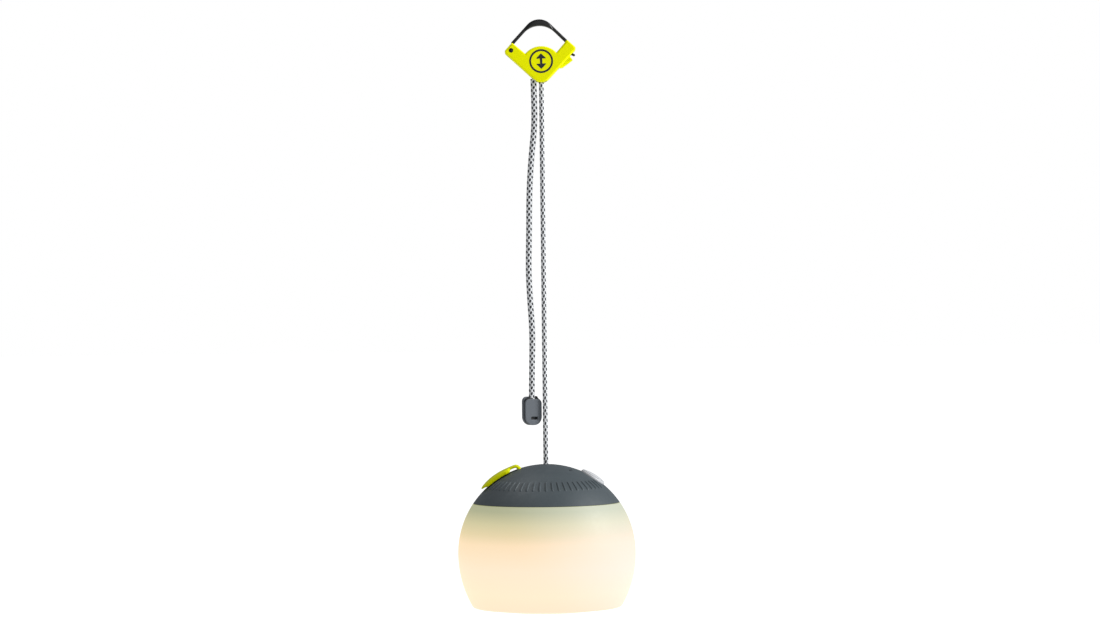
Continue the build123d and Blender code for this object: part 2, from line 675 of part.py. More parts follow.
def cord_lock_run():
    """The loaded strand's run over the sheave, from one exit to the other."""
    exit_u, exit_w = loaded_exit()
    left_u = SHEAVE_U - SHEAVE_PITCH_R - 0.1
    right_u = SHEAVE_U + SHEAVE_PITCH_R + 0.9
    over = SHEAVE_PITCH_R + 0.15
    gap = TAUT_R + 0.12
    points = [(exit_u, exit_w + gap), (right_u, over), (left_u, over), (left_u, -11.4 + TAIL_R + 0.12)]
    path = FilletPolyline(*[(u, 0, w) for u, w in points], radius=[3.55, 3.55])
    run = sweep(Plane(origin=path @ 0, z_dir=path % 0) * Circle(TAUT_R), path=path)
    return HOOK * run


def cam_lever():
    """The sprung lever: its nose pinches the loaded strand and its tab stands out of the right arm."""
    pu, pw = CAM_PIVOT
    outline = Polygon((2.5, -6.2), (2.5, -7.4), (4.0, -7.9), (10.4, -4.3), (12.0, -4.3), (12.8, -4.8),
                      (14.2, -4.7), (21.3, 0.2), (19.3, 3.3), (14.5, 1.6), (pu, pw + 2.5), (9.5, -0.2),
                      (6.0, -3.0), align=None)
    lever = slab(outline, -CAM_HALF, CAM_HALF)
    recess = Polygon((15.2, -2.9), (20.0, 0.5), (18.9, 2.1), (14.6, -0.2), align=None)
    lever = lever - slab(recess, -CAM_HALF - 1, -CAM_HALF + 0.7)
    return HOOK * (lever - slab(Pos(pu, pw) * Circle(PIN_R + 0.06), -5, 5))


def cam_spring():
    """A small compression spring that pushes the tab out and the nose against the cord."""
    coil = Helix(pitch=0.9, height=2.9, radius=0.8)
    wire = sweep(Plane(origin=coil @ 0, z_dir=coil % 0) * Circle(0.18), path=coil, is_frenet=True)
    lean = degrees(atan2(SPRING_FOOT[0] - SPRING_HEAD[0], SPRING_HEAD[1] - SPRING_FOOT[1]))
    return HOOK * Pos(SPRING_FOOT[0], 0, SPRING_FOOT[1]) * Rot(0, -lean, 0) * wire


def bail():
    slope = radians(BAIL_SLOPE)
    centre_w = BAIL_TOP - BAIL_BEND_R
    apex = centre_w + BAIL_BEND_R / cos(slope)
    foot = (BAIL_REACH, apex - BAIL_REACH * tan(slope))
    inner_foot = (foot[0] - BAIL_T * sin(slope), foot[1] - BAIL_T * cos(slope))
    touch = (BAIL_BEND_R * sin(slope), centre_w + BAIL_BEND_R * cos(slope))
    inner_apex = apex - BAIL_T / cos(slope)
    inner_centre = inner_apex - CROWN_IN_R / cos(slope)
    inner_touch = (CROWN_IN_R * sin(slope), inner_centre + CROWN_IN_R * cos(slope))
    over = ThreePointArc((-touch[0], touch[1]), (0, BAIL_TOP), touch)
    right = Polyline(touch, foot, inner_foot, inner_touch)
    under = ThreePointArc(inner_touch, (0, inner_centre + CROWN_IN_R), (-inner_touch[0], inner_touch[1]))
    left = Polyline((-inner_touch[0], inner_touch[1]), (-inner_foot[0], inner_foot[1]), (-foot[0], foot[1]),
                    (-touch[0], touch[1]))
    arch = make_face([over, right, under, left])
    mid = ((foot[0] + inner_foot[0]) / 2, (foot[1] + inner_foot[1]) / 2)
    left_leg = bar((-mid[0], mid[1]), BAIL_PIN, BAIL_T) + Pos(*BAIL_PIN) * Circle(BAIL_EYE_R)
    right_leg = bar(mid, (20.3, 5.4), BAIL_T)
    strip = slab(arch + left_leg + right_leg, -BAIL_HALF, BAIL_HALF)
    crown = slab(arch & Pos(0, BAIL_TOP) * Rectangle(CROWN_W, 20.0), -CROWN_HALF, CROWN_HALF)
    tip = Pos(21.3, 0, 4.0) * Rot(0, 130, 0) * Cylinder(BAIL_TIP_R, BAIL_TIP_L)
    eye = slab(Pos(*BAIL_PIN) * Circle(BAIL_PIN_R + 0.05), -BAIL_HALF - 1, BAIL_HALF + 1)
    return HOOK * (strip + crown + tip - eye)


def lamp_nodes():
    return {
        "dome_shell": dome_shell(),
        "globe": globe(),
        "globe_seal": globe_seal(),
        "port_flap": port_flap(),
        "flap_foot": flap_foot(),
        "port_bezel": port_bezel(),
        "usb_a_socket": usb_a_socket(),
        "usb_c_socket": usb_c_socket(),
        "port_board": port_board(),
        "indicator_lenses": indicator_lenses(),
        "button_cap": button_cap(),
        "switch_plunger": switch_plunger(),
        "switch_body": switch_body(),
        "button_board": button_board(),
        "button_board_screws": button_board_screws(),
        "inner_drum": inner_drum(),
        "drum_screws": drum_screws(),
        "led_board": led_board(),
        "led_chips": led_chips(),
        "led_board_screws": led_board_screws(),
        "battery_cells": battery_cells(),
        "cell_cradle": cell_cradle(),
        "cell_tabs": cell_tabs(),
        "cell_cover": cell_cover(),
        "control_board": control_board(),
        "control_parts": control_parts(),
        "battery_leads": battery_leads(),
        "led_leads": led_leads(),
    }


def main():
    os.makedirs("parts", exist_ok=True)
    nodes = {name: LAMP * shape for name, shape in lamp_nodes().items()}
    tag_front, tag_core, tag_rear = tag_parts()
    nodes.update({
        "cord_suspension": cord_suspension(),
        "anchor_washer": anchor_washer(),
        "cord_knot": cord_knot(),
        "cord_tail": cord_tail(),
        "tag_front": tag_front,
        "tag_core": tag_core,
        "tag_rear": tag_rear,
        "lock_front_shell": lock_half(True),
        "lock_rear_shell": lock_half(False),
        "badge_ring": badge_ring(),
        "badge_symbol": badge_symbol(),
        "lock_screws": lock_screws(),
        "bail_pin": bail_pin(),
        "sheave_pin": pin(SHEAVE_U, 0.0, PIN_R, 4.3),
        "cam_pin": pin(*CAM_PIVOT, PIN_R, 4.3),
        "sheave": sheave(),
        "cord_lock_run": cord_lock_run(),
        "cam_lever": cam_lever(),
        "cam_spring": cam_spring(),
        "bail": bail(),
    })
    for name, shape in nodes.items():
        export_step(shape, f"parts/{name}.step")
        print(name, round(shape.volume, 1))


main()
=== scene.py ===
import json
import math

import bmesh
import bpy
import numpy as np
from mathutils import Matrix, Vector


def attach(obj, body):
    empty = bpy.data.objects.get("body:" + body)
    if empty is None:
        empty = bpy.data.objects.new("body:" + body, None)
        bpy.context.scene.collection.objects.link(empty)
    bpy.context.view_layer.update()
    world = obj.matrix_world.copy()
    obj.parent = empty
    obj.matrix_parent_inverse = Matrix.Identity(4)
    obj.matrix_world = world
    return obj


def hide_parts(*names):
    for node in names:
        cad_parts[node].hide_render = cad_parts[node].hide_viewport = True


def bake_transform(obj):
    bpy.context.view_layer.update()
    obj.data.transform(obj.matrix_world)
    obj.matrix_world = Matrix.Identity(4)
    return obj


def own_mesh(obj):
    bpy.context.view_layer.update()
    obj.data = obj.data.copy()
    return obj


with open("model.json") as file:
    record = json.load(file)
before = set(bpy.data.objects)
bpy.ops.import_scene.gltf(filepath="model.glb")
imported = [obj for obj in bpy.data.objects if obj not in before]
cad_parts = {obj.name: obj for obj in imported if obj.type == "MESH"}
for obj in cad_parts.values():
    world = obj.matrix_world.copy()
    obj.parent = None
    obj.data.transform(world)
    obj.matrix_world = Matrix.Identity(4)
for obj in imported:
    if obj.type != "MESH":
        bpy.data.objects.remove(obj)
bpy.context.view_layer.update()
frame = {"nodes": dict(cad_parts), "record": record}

# A hanging lantern's looks, in metres. +Z up, +X right, the front faces -Y, the hanging point is the origin.

# ---- view ----
VIEW_DISTANCE = 2.1
VIEW_CENTRE = (0.0039, -0.1982)      # x and z of the picture's middle
VIEW_WIDTH = 0.7428                  # what the picture spans at the lamp
SENSOR_WIDTH = 36.0
VIEW_ROLL = 0.68                     # degrees
VIEW_FAR = 200.0

# ---- studio ----
ROOM_LIGHT = 0.28                    # the white room as a light; the camera sees it at 1
FLOOR_Z, FLOOR_HALF = -0.62, 40.0
FLOOR_GLOW = (0.1, 0.85)             # as a light, and as the camera sees it
LIGHTS = [                           # name, place, target, size and watts
    ("key", (2.3, -0.35, 1.15), (0, 0, -0.25), 1.1, 82),
    ("front_fill", (0.4, -2.4, 0.3), (0, 0, -0.2), 1.0, 7),
    ("top_fill", (-0.6, 0.4, 1.7), (0, 0, -0.3), 1.2, 12),
]

# ---- meshes ----
SHARP_ANGLE = math.radians(38)
FLAT_COSINE = 0.9995                 # a face at least this square to a flat direction is shaded flat
EDGE_STEPS = 4                       # steps round a plate's edge, besides its ends
WELD = 0.002                         # in mm; vertices nearer than this become one
SPLINE_STEPS = 48                    # points for each control point of a cord's route

# ---- the lamp ----
LAMP_Z = -0.3554
SPHERE_R = 0.060
SEAM_Z = -0.3214
BASE_Z = -0.3941
BUTTON_POLAR = 31.9                  # degrees from the vertical, on the +X side
BUTTON_R = 0.0089
BUTTON_PROUD = 0.0023
BUTTON_FALL, BUTTON_FACE = 0.0014, 0.92      # how much its face is domed, and the face's share of the radius
BUTTON_RINGS, BUTTON_RING_RELIEF = 7.5, 0.00002
BUTTON_RINGS_FROM = 0.3              # share of the radius inside which the face is plain
BUTTON_EDGE_R, BUTTON_EDGE_DROP = 0.0011, 0.0025
BUTTON_SIDE, BUTTON_BACK = -0.0005, -0.0038  # heights of its side's top and of its back
RIB_COUNT = 23
RIB_SWEEP = 68.0                     # degrees to each side of the front
RIB_POLAR = (34.2, 43.6)
RIB_HALF = 1.15                      # half a rib's width, in degrees round the dome
RIB_PROUD, RIB_SUNK = 0.00055, 0.0002
RIB_STEPS = (26, 9)                  # places along a rib and across it
RIB_END_POWER, RIB_SIDE_POWER = 8, 4         # how squarely a rib falls away at its ends and its sides

FLAP_STEPS = 110
FLAP_SQUARENESS = 4.5
FLAP_HOLLOW = 1 / 130                # 1 / (2 x its radius in mm)

# The port flap's side profile from its foot to its lip, as (polar angle, radius in mm, half width in mm).
FLAP_OUTER = [
    (16.0, 59.4, 5.4), (16.5, 60.6, 5.8), (17.1, 61.7, 6.0), (17.9, 62.7, 6.0), (19.0, 63.3, 6.0),
    (20.5, 63.4, 6.0), (22.0, 63.4, 6.0), (23.4, 63.4, 6.2), (24.2, 63.4, 7.6), (25.0, 63.4, 8.9),
    (26.4, 63.5, 9.6), (30.0, 63.6, 9.7), (34.0, 63.6, 9.7), (37.6, 63.4, 9.7), (40.1, 63.2, 9.7),
    (41.4, 63.0, 9.6), (42.9, 62.8, 9.1), (44.2, 62.5, 8.2), (44.8, 62.1, 7.2),
]
# The inner side, as (polar angle, radius in mm).
FLAP_INNER = [
    (18.9, 59.4), (18.9, 60.0), (18.95, 60.6), (19.1, 61.1), (19.5, 61.5),
    (20.6, 61.6), (21.9, 61.6), (22.9, 61.5), (23.6, 61.0), (24.0, 60.3),
    (26.0, 60.2), (30.0, 60.2), (34.0, 60.2), (37.6, 60.2), (40.2, 60.2),
    (41.0, 60.5), (42.3, 61.2), (43.8, 61.6), (44.6, 61.7),
]

# ---- the hook, in its own frame: u to the right and w up from the hub's centre, in mm ----
HUB_Z = -0.0238
LEAN = math.radians(1.5)
HUB_MIDDLE, HUB_R = (0.0, -4.05), 14.2
HUB_TRIM = 1.5                       # degrees by which the hub's curve stops short of each notch
HOOK_FLAT = Vector((0, 1, 0))        # the way the hook's flat faces look
LOCK_HALF = 6.0
LOCK_EDGE = 1.1
SHELL_GAP = 0.00006                  # from the middle plane to each shell, in metres
LOCK_NOTCH = (10.5, 5.5)             # where the hub's curve meets an arm
LOCK_CORNERS = [(*LOCK_NOTCH, 0.5), (18.0, 13.9, 0.6), (24.2, 7.9, 1.7), (-0.1, -16.97, 7.2),
                (-25.0, 7.2, 1.9), (-19.2, 13.3, 0.6), (-LOCK_NOTCH[0], LOCK_NOTCH[1], 0.5)]

# Rooms inside the lock: an outline, and half of its depth.
CAM_ROOM = [(2.0, -4.8), (2.0, -10.2), (5.6, -10.2), (10.5, -5.3), (11.6, -6.5), (26.0, -2.0), (26.0, 6.6),
            (20.5, 6.6), (17.4, 6.2), (14.2, 4.0), (12.0, 3.4), (8.8, 1.9), (5.0, -1.2)]
CAM_ROOM_HALF = 2.6
LEFT_ROOM = [(-24.0, 3.6, 3.4), (-16.4, 3.6, 3.4), (-9.6, 17.6, 2.0), (-28.4, 17.6, 2.0)]
LEFT_ROOM_HALF = 2.15
RIGHT_ROOM = [(15.2, 6.4), (21.0, 0.9), (30.0, 2.0), (30.0, 16.0), (17.0, 20.0), (12.6, 15.0)]
RIGHT_ROOM_HALF = 2.16
CHANNEL = [(-8.3, -16.0), (3.3, -16.0), (3.3, 0.0), (-8.3, 0.0)]
CHANNEL_HALF = 2.62
MOUTH = [(-9.2, -16.5), (3.2, -16.5), (3.2, -9.5), (-9.2, -9.5)]
MOUTH_HALF = 3.4
PIN_HOLE_R, PIN_HEAD_ROOM_R = 1.27, 1.56
PIN_HEAD_FROM, PIN_CUT_HALF = 4.5, 8.0       # where the heads' room begins, and where every pin cut ends

BADGE_R, BADGE_LINE = 8.05, 1.3
BADGE_PROUD, BADGE_DEPTH, BADGE_EDGE = 0.05, 0.8, 0.05
BADGE_MARK = [(-0.8, -1.7), (-3.6, -1.7), (0.0, -5.3), (3.6, -1.7), (0.8, -1.7),
              (0.8, 1.7), (3.6, 1.7), (0.0, 5.3), (-3.6, 1.7), (-0.8, 1.7)]
BADGE_MARK_R = 0.25

BAIL_PIN = (-20.0, 8.0)
BAIL_TOP, BAIL_BEND_R, CROWN_IN_R, BAIL_T = 28.6, 11.0, 14.0, 2.1
BAIL_SLOPE = math.radians(45.8)
BAIL_REACH = 19.0
BAIL_SHIFT = -0.7                    # how far the arch sits towards the pin
BAIL_HALF, CROWN_HALF = 2.0, 3.3
CROWN_POWER = 3                      # how squarely the crown's extra width ends
BAIL_STEPS = 90
BAIL_ROOT = 1.2                      # half of the left leg's thickness at the pin
BAIL_LATCH = ((18.0, 5.9), (20.4, 5.4))      # the right leg's inner and outer end
EYE_R, EYE_HOLE_R, EYE_EDGE = 2.85, 1.3, 0.3
ROUND_POINTS, BADGE_POINTS = 48, 120         # points round the eye and the pin's holes, and round the badge

STUB_PLACE, STUB_TURN = (21.2, 4.2), math.radians(118)
# The stub's and the pin's own profiles, in metres.
STUB_R, STUB_LOW, STUB_HIGH = 0.0008, -0.0022, 0.0012
PIN_HEAD_R, PIN_NECK_R = 0.0015, 0.0012
PIN_HALF, PIN_NECK_HALF, PIN_DOMING = 0.0058, 0.0046, 0.0005

SPRING_FOOT, SPRING_HEAD = (14.0, 2.25), (13.6, 4.6)
SPRING_LENGTH, SPRING_PITCH, SPRING_R, SPRING_WIRE_R = 2.9, 0.9, 0.8, 0.18
SPRING_STEPS, SPRING_WIRE_POINTS = 24, 10    # places along each turn, and round the wire

# ---- the tag ----
TAG_TOP_Z, TAG_HEIGHT = -0.2497, 0.01931
TAG_MIDDLE = (-0.0091, TAG_TOP_Z - TAG_HEIGHT / 2)
TAG_YAW = math.radians(30)
TAG_FLAT = Vector((-math.sin(TAG_YAW), math.cos(TAG_YAW), 0))
TAG_HALF_W, TAG_HALF_H = 6.35, 9.65
TAG_TOP_R, TAG_END_R = 3.2, 5.7
TAG_Y = (-2.7, -1.2, 0.4, 2.7)       # where the front plate, the core and the rear plate begin and end
TAG_FRONT_LOW = 1.6                  # how far the front plate's top is below the rear plate's
TAG_CORE_IN, TAG_CORE_LAP = 0.9, 0.02        # how far its rim is set back, and how far it enters a plate
TAG_WINDOW = [(-1.9, -5.9), (-1.9, -4.0), (3.2, -4.0), (3.2, -5.9)]
TAG_POCKET = [(0.7, -5.7), (0.7, -4.2), (3.1, -4.2), (3.1, -5.7)]
TAG_WINDOW_R, TAG_POCKET_R = 0.3, 0.2
TAG_BUMP = [(2.0, 7.0, 0.6), (4.1, 7.0, 0.6), (4.1, 9.9, 0.9), (2.0, 9.9, 0.9)]
TAG_BUMP_BACK = 0.05                 # how far the bump is behind the front plate
TAG_FACE_EDGE, TAG_CORE_EDGE, TAG_BUMP_EDGE, TAG_BACK_EDGE = 0.32, 0.1, 0.25, 0.5

# ---- the cord ----
TAUT_R = 0.0017
TAIL_R = 0.00205
TAUT_ROUTE = [(0, 0, -0.0379), (0, 0, -0.1200), (0, 0, -0.2180), (0, 0, -0.2999)]
TAIL_ROUTE = [
    (-0.0054, 0, -0.0354),
    (-0.0050, 0, -0.0500),
    (-0.0051, 0, -0.0680),
    (-0.0074, 0, -0.0880),
    (-0.0091, 0, -0.1120),
    (-0.0095, 0, -0.1400),
    (-0.0102, 0, -0.1640),
    (-0.0094, 0, -0.1840),
    (-0.0080, 0, -0.2060),
    (-0.0086, 0, -0.2300),
    (-0.0091, 0, -0.2532),
]
TAUT_LAY = 0.0172                    # length in which one yarn goes once round
TAIL_LAY = 0.0156
YARNS_PER_WAY = 4
YARN_HALF = 0.27                     # half a light yarn's width, as a share of the yarns' spacing
YARN_LEVEL, YARN_WAVE = 0.8, 0.2     # a yarn's mean height, and how much it rises and dips where it crosses
FLECK_LONG, FLECK_SHORT = 0.43, 0.34         # half axes of a slate fleck, as shares of the yarns' spacing
FLECK_HEIGHT = 0.55
FLECK_EDGE, FLECK_FADE = 1.15, 0.3   # where a fleck's colour ends, and how gradually
YARN_RELIEF, YARN_RISE = 0.00022, 1.3
RING_STEP = 0.0003                   # from one ring of the mesh to the next
RING_POINTS = 40


def srgb(red, green, blue):
    """A colour given as 0 to 255 screen values, as the linear colour that a shader takes."""
    linear = []
    for value in (red / 255, green / 255, blue / 255):
        linear.append(value / 12.92 if value <= 0.04045 else ((value + 0.055) / 1.055) ** 2.4)
    return (*linear, 1.0)


def scaled(color, factor):
    return (*(min(1.0, c * factor) for c in color[:3]), 1.0)


# ---- materials: noise scales are in features per metre, and bump depths in metres ----
NOISE_LOW, NOISE_HIGH = 0.3, 0.7     # most of a noise lies between these
MOULD_GRAIN = 2600.0
WHITE = (1.0, 1.0, 1.0, 1.0)
YELLOW_GLOSS = (1.0, 1.0, 0.2, 1.0)


class Paint:
    """A procedural material on one Principled shader, drawn in the object's own coordinates."""

    def __init__(self, name, color, roughness, metallic=0.0):
        self.material = bpy.data.materials.new(name)
        self.material.use_nodes = True
        self.tree = self.material.node_tree
        self.shader = next(n for n in self.tree.nodes if n.type == "BSDF_PRINCIPLED")
        self.shader.inputs["Base Color"].default_value = color
        self.shader.inputs["Roughness"].default_value = roughness
        self.shader.inputs["Metallic"].default_value = metallic
        self.place = self.tree.nodes.new("ShaderNodeTexCoord").outputs["Object"]

    def link(self, source, target):
        self.tree.links.new(source, target)

    def set(self, **values):
        """Sets constant values on the shader's own sockets."""
        for name, value in values.items():
            socket = name.replace("_", " ").title().replace("Ior", "IOR")
            self.shader.inputs[socket].default_value = value

    def stretched(self, stretch):
        """The object's coordinates, scaled along each axis."""
        mapping = self.tree.nodes.new("ShaderNodeMapping")
        mapping.inputs["Scale"].default_value = stretch
        self.link(self.place, mapping.inputs["Vector"])
        return mapping.outputs["Vector"]

    def noise(self, scale, detail=2.0, stretch=(1, 1, 1)):
        node = self.tree.nodes.new("ShaderNodeTexNoise")
        node.inputs["Scale"].default_value = scale
        node.inputs["Detail"].default_value = detail
        self.link(self.stretched(stretch), node.inputs["Vector"])
        return node.outputs["Fac"]

    def cells(self, scale, stretch):
        """Distance from the nearest cell's middle."""
        node = self.tree.nodes.new("ShaderNodeTexVoronoi")
        node.inputs["Scale"].default_value = scale
        self.link(self.stretched(stretch), node.inputs["Vector"])
        return node.outputs["Distance"]

    def along(self, axis, low, high):
        """0 to 1 between two places on an axis."""
        parts = self.tree.nodes.new("ShaderNodeSeparateXYZ")
        self.link(self.place, parts.inputs[0])
        return self.ranged(parts.outputs[axis], low, high)

    def attribute(self, name):
        node = self.tree.nodes.new("ShaderNodeAttribute")
        node.attribute_name = name
        return node.outputs["Fac"]

    def ranged(self, source, low, high, to_low=0.0, to_high=1.0):
        node = self.tree.nodes.new("ShaderNodeMapRange")
        spans = (("From Min", low), ("From Max", high), ("To Min", to_low), ("To Max", to_high))
        for name, value in spans:
            node.inputs[name].default_value = value
        self.link(source, node.inputs["Value"])
        return node.outputs["Result"]

    def ramp(self, source, stops):
        node = self.tree.nodes.new("ShaderNodeValToRGB")
        elements = node.color_ramp.elements
        while len(elements) < len(stops):
            elements.new(0.5)
        for element, (position, color) in zip(elements, stops):
            element.position = position
            element.color = color
        self.link(source, node.inputs["Fac"])
        return node.outputs["Color"]

    def mix(self, factor, low, high):
        """A colour between two, each a constant or another node's output."""
        node = self.tree.nodes.new("ShaderNodeMix")
        node.data_type = "RGBA"
        self.link(factor, node.inputs["Factor"])
        # Sockets 6 and 7 and output 2 are the node's colour ones.
        for socket, value in ((node.inputs[6], low), (node.inputs[7], high)):
            if isinstance(value, bpy.types.NodeSocket):
                self.link(value, socket)
            else:
                socket.default_value = value
        return node.outputs[2]

    def added(self, first, second):
        node = self.tree.nodes.new("ShaderNodeMath")
        node.operation = "ADD"
        self.link(first, node.inputs[0])
        self.link(second, node.inputs[1])
        return node.outputs[0]

    def base(self, source):
        self.link(source, self.shader.inputs["Base Color"])

    def rough(self, source, low, high):
        spread = self.ranged(source, NOISE_LOW, NOISE_HIGH, low, high)
        self.link(spread, self.shader.inputs["Roughness"])

    def bump(self, height, depth):
        """The last step of every material: gives the paint back."""
        node = self.tree.nodes.new("ShaderNodeBump")
        node.inputs["Strength"].default_value = 1.0
        node.inputs["Distance"].default_value = depth
        self.link(height, node.inputs["Height"])
        self.link(node.outputs["Normal"], self.shader.inputs["Normal"])
        return self


def moulded(name, color, roughness, depth=0.00003, mottle=0.06, specular=0.5, tint=WHITE):
    """Moulded plastic: a fine spark-eroded grain, slightly uneven gloss and colour."""
    paint = Paint(name, color, roughness)
    cloud = paint.noise(70.0, 3.0)
    fine = paint.noise(MOULD_GRAIN, 2.0)
    paint.base(paint.mix(cloud, scaled(color, 1 - mottle), scaled(color, 1 + mottle)))
    paint.rough(paint.noise(240.0, 3.0), roughness - 0.06, roughness + 0.06)
    paint.set(specular_ior_level=specular, specular_tint=tint)
    return paint.bump(fine, depth)


def metal(name, color, roughness, stretch=(1, 1, 12)):
    """Drawn or turned metal with fine lines."""
    paint = Paint(name, color, roughness, 1.0)
    lines = paint.noise(1400.0, 3.0, stretch)
    paint.base(paint.mix(paint.noise(300.0), scaled(color, 0.86), scaled(color, 1.1)))
    paint.rough(lines, roughness - 0.08, roughness + 0.1)
    return paint.bump(lines, 0.00001)


def circuit(name, mask, copper):
    """Solder mask over copper areas and tracks."""
    paint = Paint(name, mask, 0.35)
    areas = paint.ranged(paint.cells(260.0, (1, 1, 0.2)), 0.42, 0.46)
    paint.base(paint.mix(areas, mask, copper))
    paint.rough(paint.noise(500.0), 0.28, 0.42)
    return paint.bump(areas, 0.00003)


def braid(name):
    """Light polyester yarns with slate ones among them, and fine filaments along each yarn."""
    paint = Paint(name, CORD_LIGHT, 0.75)
    filaments = paint.noise(5200.0, 2.0, (1, 1, 0.35))
    light = paint.mix(filaments, scaled(CORD_LIGHT, 0.82), scaled(CORD_LIGHT, 1.08))
    dark = paint.mix(filaments, scaled(CORD_DARK, 0.7), scaled(CORD_DARK, 1.4))
    paint.base(paint.mix(paint.attribute("yarn"), light, dark))
    paint.set(sheen_weight=0.1, sheen_roughness=0.5)
    return paint.bump(filaments, 0.00004)


def woven_core(name):
    """The same braid on pieces with no yarn attribute, as diagonal flecks."""
    paint = Paint(name, CORD_LIGHT, 0.75)
    flecks = paint.ranged(paint.cells(620.0, (1, 1, 0.6)), 0.32, 0.26)
    paint.base(paint.mix(flecks, CORD_LIGHT, CORD_DARK))
    return paint.bump(paint.cells(900.0, (1, 1, 0.6)), 0.0001)


def frosted_globe(name):
    """Frosted plastic lit from inside: warm below the light board, and greenish and dim above it, where the
    board's shadow is painted into the glow.
    """
    paint = Paint(name, WHITE, 0.5)
    height = paint.along("Z", BASE_Z, SEAM_Z)
    # The glow is painted dim and greenish above the light board: the board's painted shadow.
    glow = paint.ramp(height, GLOBE_GLOW_AND_SHADOW)
    paint.link(glow, paint.shader.inputs["Emission Color"])
    paint.set(emission_strength=1.0, specular_ior_level=0.2)
    # Aiming light samples at the faint glow would only make the other pieces noisier.
    paint.material.cycles.emission_sampling = "NONE"
    clouds = paint.ranged(paint.noise(45.0), 0.0, 1.0, -0.02, 0.02)
    paint.base(paint.ramp(paint.added(height, clouds), GLOBE_BASES))
    paint.rough(paint.noise(400.0), 0.46, 0.56)
    return paint.bump(paint.noise(3000.0), 0.00002)


CORD_LIGHT = srgb(222, 225, 228)
CORD_DARK = srgb(10, 15, 22)
# Colours up the globe, as (share of its height, linear colour): its surface, which changes with height, and
# its own light, painted dim and greenish near the top as the light board's shadow.
GLOBE_BASES = [
    (0.04, (0.15, 0.08, 0.17, 1)),
    (0.42, (0.15, 0.09, 0.19, 1)),
    (0.65, (0.10, 0.14, 0.25, 1)),
    (0.74, (0.15, 0.20, 0.30, 1)),
    (0.84, (0.20, 0.23, 0.29, 1)),
    (0.95, (0.26, 0.28, 0.30, 1)),
]
GLOBE_GLOW_AND_SHADOW = [
    (0.04, (0.87, 0.75, 0.45, 1)),
    (0.19, (0.88, 0.79, 0.48, 1)),
    (0.42, (0.91, 0.77, 0.49, 1)),
    (0.65, (0.92, 0.68, 0.36, 1)),
    (0.74, (0.71, 0.55, 0.23, 1)),
    (0.84, (0.53, 0.46, 0.19, 1)),
    (0.95, (0.28, 0.28, 0.11, 1)),
]
LIME = srgb(242, 245, 0)
FLAP_LIME = srgb(204, 210, 0)
SLATE = srgb(63, 72, 77)
PAINTS = {
    "lock_lime": moulded("satin_lime", LIME, 0.4, depth=0.0000003, mottle=0.015, specular=0.15,
                         tint=YELLOW_GLOSS),
    "badge_slate": moulded("badge_slate", srgb(30, 35, 40), 0.5, specular=0.3),
    "bail_black": moulded("bail_black", srgb(19, 20, 21), 0.4, specular=0.3),
    "steel": metal("steel", (0.55, 0.55, 0.56, 1), 0.3),
    "black_steel": metal("black_steel", (0.03, 0.03, 0.032, 1), 0.3),
    "sheave_white": moulded("acetal_white", srgb(225, 225, 218), 0.35),
    "cord_braid": woven_core("cord_core"),
    "tag_slate": moulded("tag_slate", srgb(84, 90, 97), 0.5),
    "dome_slate": moulded("dome_slate", SLATE, 0.55, depth=0.00004, specular=0.38),
    "globe_frosted": frosted_globe("frosted_globe"),
    "seal_black": moulded("seal_black", srgb(24, 24, 26), 0.6),
    "flap_lime": moulded("silicone_lime", FLAP_LIME, 0.5, depth=0.000002, mottle=0.02, specular=0.2,
                          tint=YELLOW_GLOSS),
    "button_grey": moulded("button_grey", srgb(184, 186, 189), 0.45),
    "lens_smoke": moulded("lens_smoke", srgb(30, 30, 32), 0.15),
    "drum_white": moulded("drum_white", srgb(230, 230, 225), 0.45),
    "board_green": circuit("board_green", (0.01, 0.09, 0.03, 1), (0.03, 0.2, 0.07, 1)),
    "board_white": circuit("board_white", (0.75, 0.75, 0.73, 1), (0.85, 0.85, 0.82, 1)),
    "chip_black": moulded("chip_black", srgb(30, 30, 32), 0.4),
    "led_yellow": moulded("led_phosphor", srgb(240, 205, 70), 0.3),
    "cell_wrap": metal("cell_wrap", (0.03, 0.16, 0.4, 1), 0.35, (1, 12, 1)),
    "nickel": metal("nickel", (0.6, 0.58, 0.53, 1), 0.25),
    "lead_insulation": moulded("lead_insulation", srgb(170, 20, 24), 0.5),
}


def paint_cad_nodes():
    """Every CAD node gets the material of its slot in the record."""
    slots = {part["node"]: part["material_slot"] for part in frame["record"]["subparts"]}
    for name, node in frame["nodes"].items():
        material = PAINTS[slots[name]].material
        node.data.materials.clear()
        node.data.materials.append(material)


# ---- making objects and meshes ----
def linked(name, data):
    """A new object in the scene."""
    item = bpy.data.objects.new(name, data)
    bpy.context.scene.collection.objects.link(item)
    return item


def new_mesh(name, vertices, faces):
    mesh = bpy.data.meshes.new(name)
    mesh.from_pydata(vertices, [], faces)
    return mesh


def curve_mesh(curve):
    """The curve's mesh; the curve itself is dropped."""
    holder = linked(curve.name, curve)
    mesh = bpy.data.meshes.new_from_object(holder)
    bpy.data.objects.remove(holder)
    bpy.data.curves.remove(curve)
    return mesh


def opened(mesh):
    """The mesh as a bmesh to work on."""
    work = bmesh.new()
    work.from_mesh(mesh)
    return work


def written(work, mesh, outwards=True):
    """The mesh with the work put back in it, its faces turned outwards unless they are already right."""
    if outwards:
        bmesh.ops.recalc_face_normals(work, faces=work.faces)
    work.to_mesh(mesh)
    work.free()
    return mesh


def turned_outwards(mesh):
    return written(opened(mesh), mesh)


def ring_faces(rows, count):
    """The faces between rows of vertices that are closed rings of count."""
    faces = []
    for row in range(rows - 1):
        at, up = row * count, (row + 1) * count
        for k in range(count):
            n = (k + 1) % count
            faces.append((at + k, at + n, up + n, up + k))
    return faces


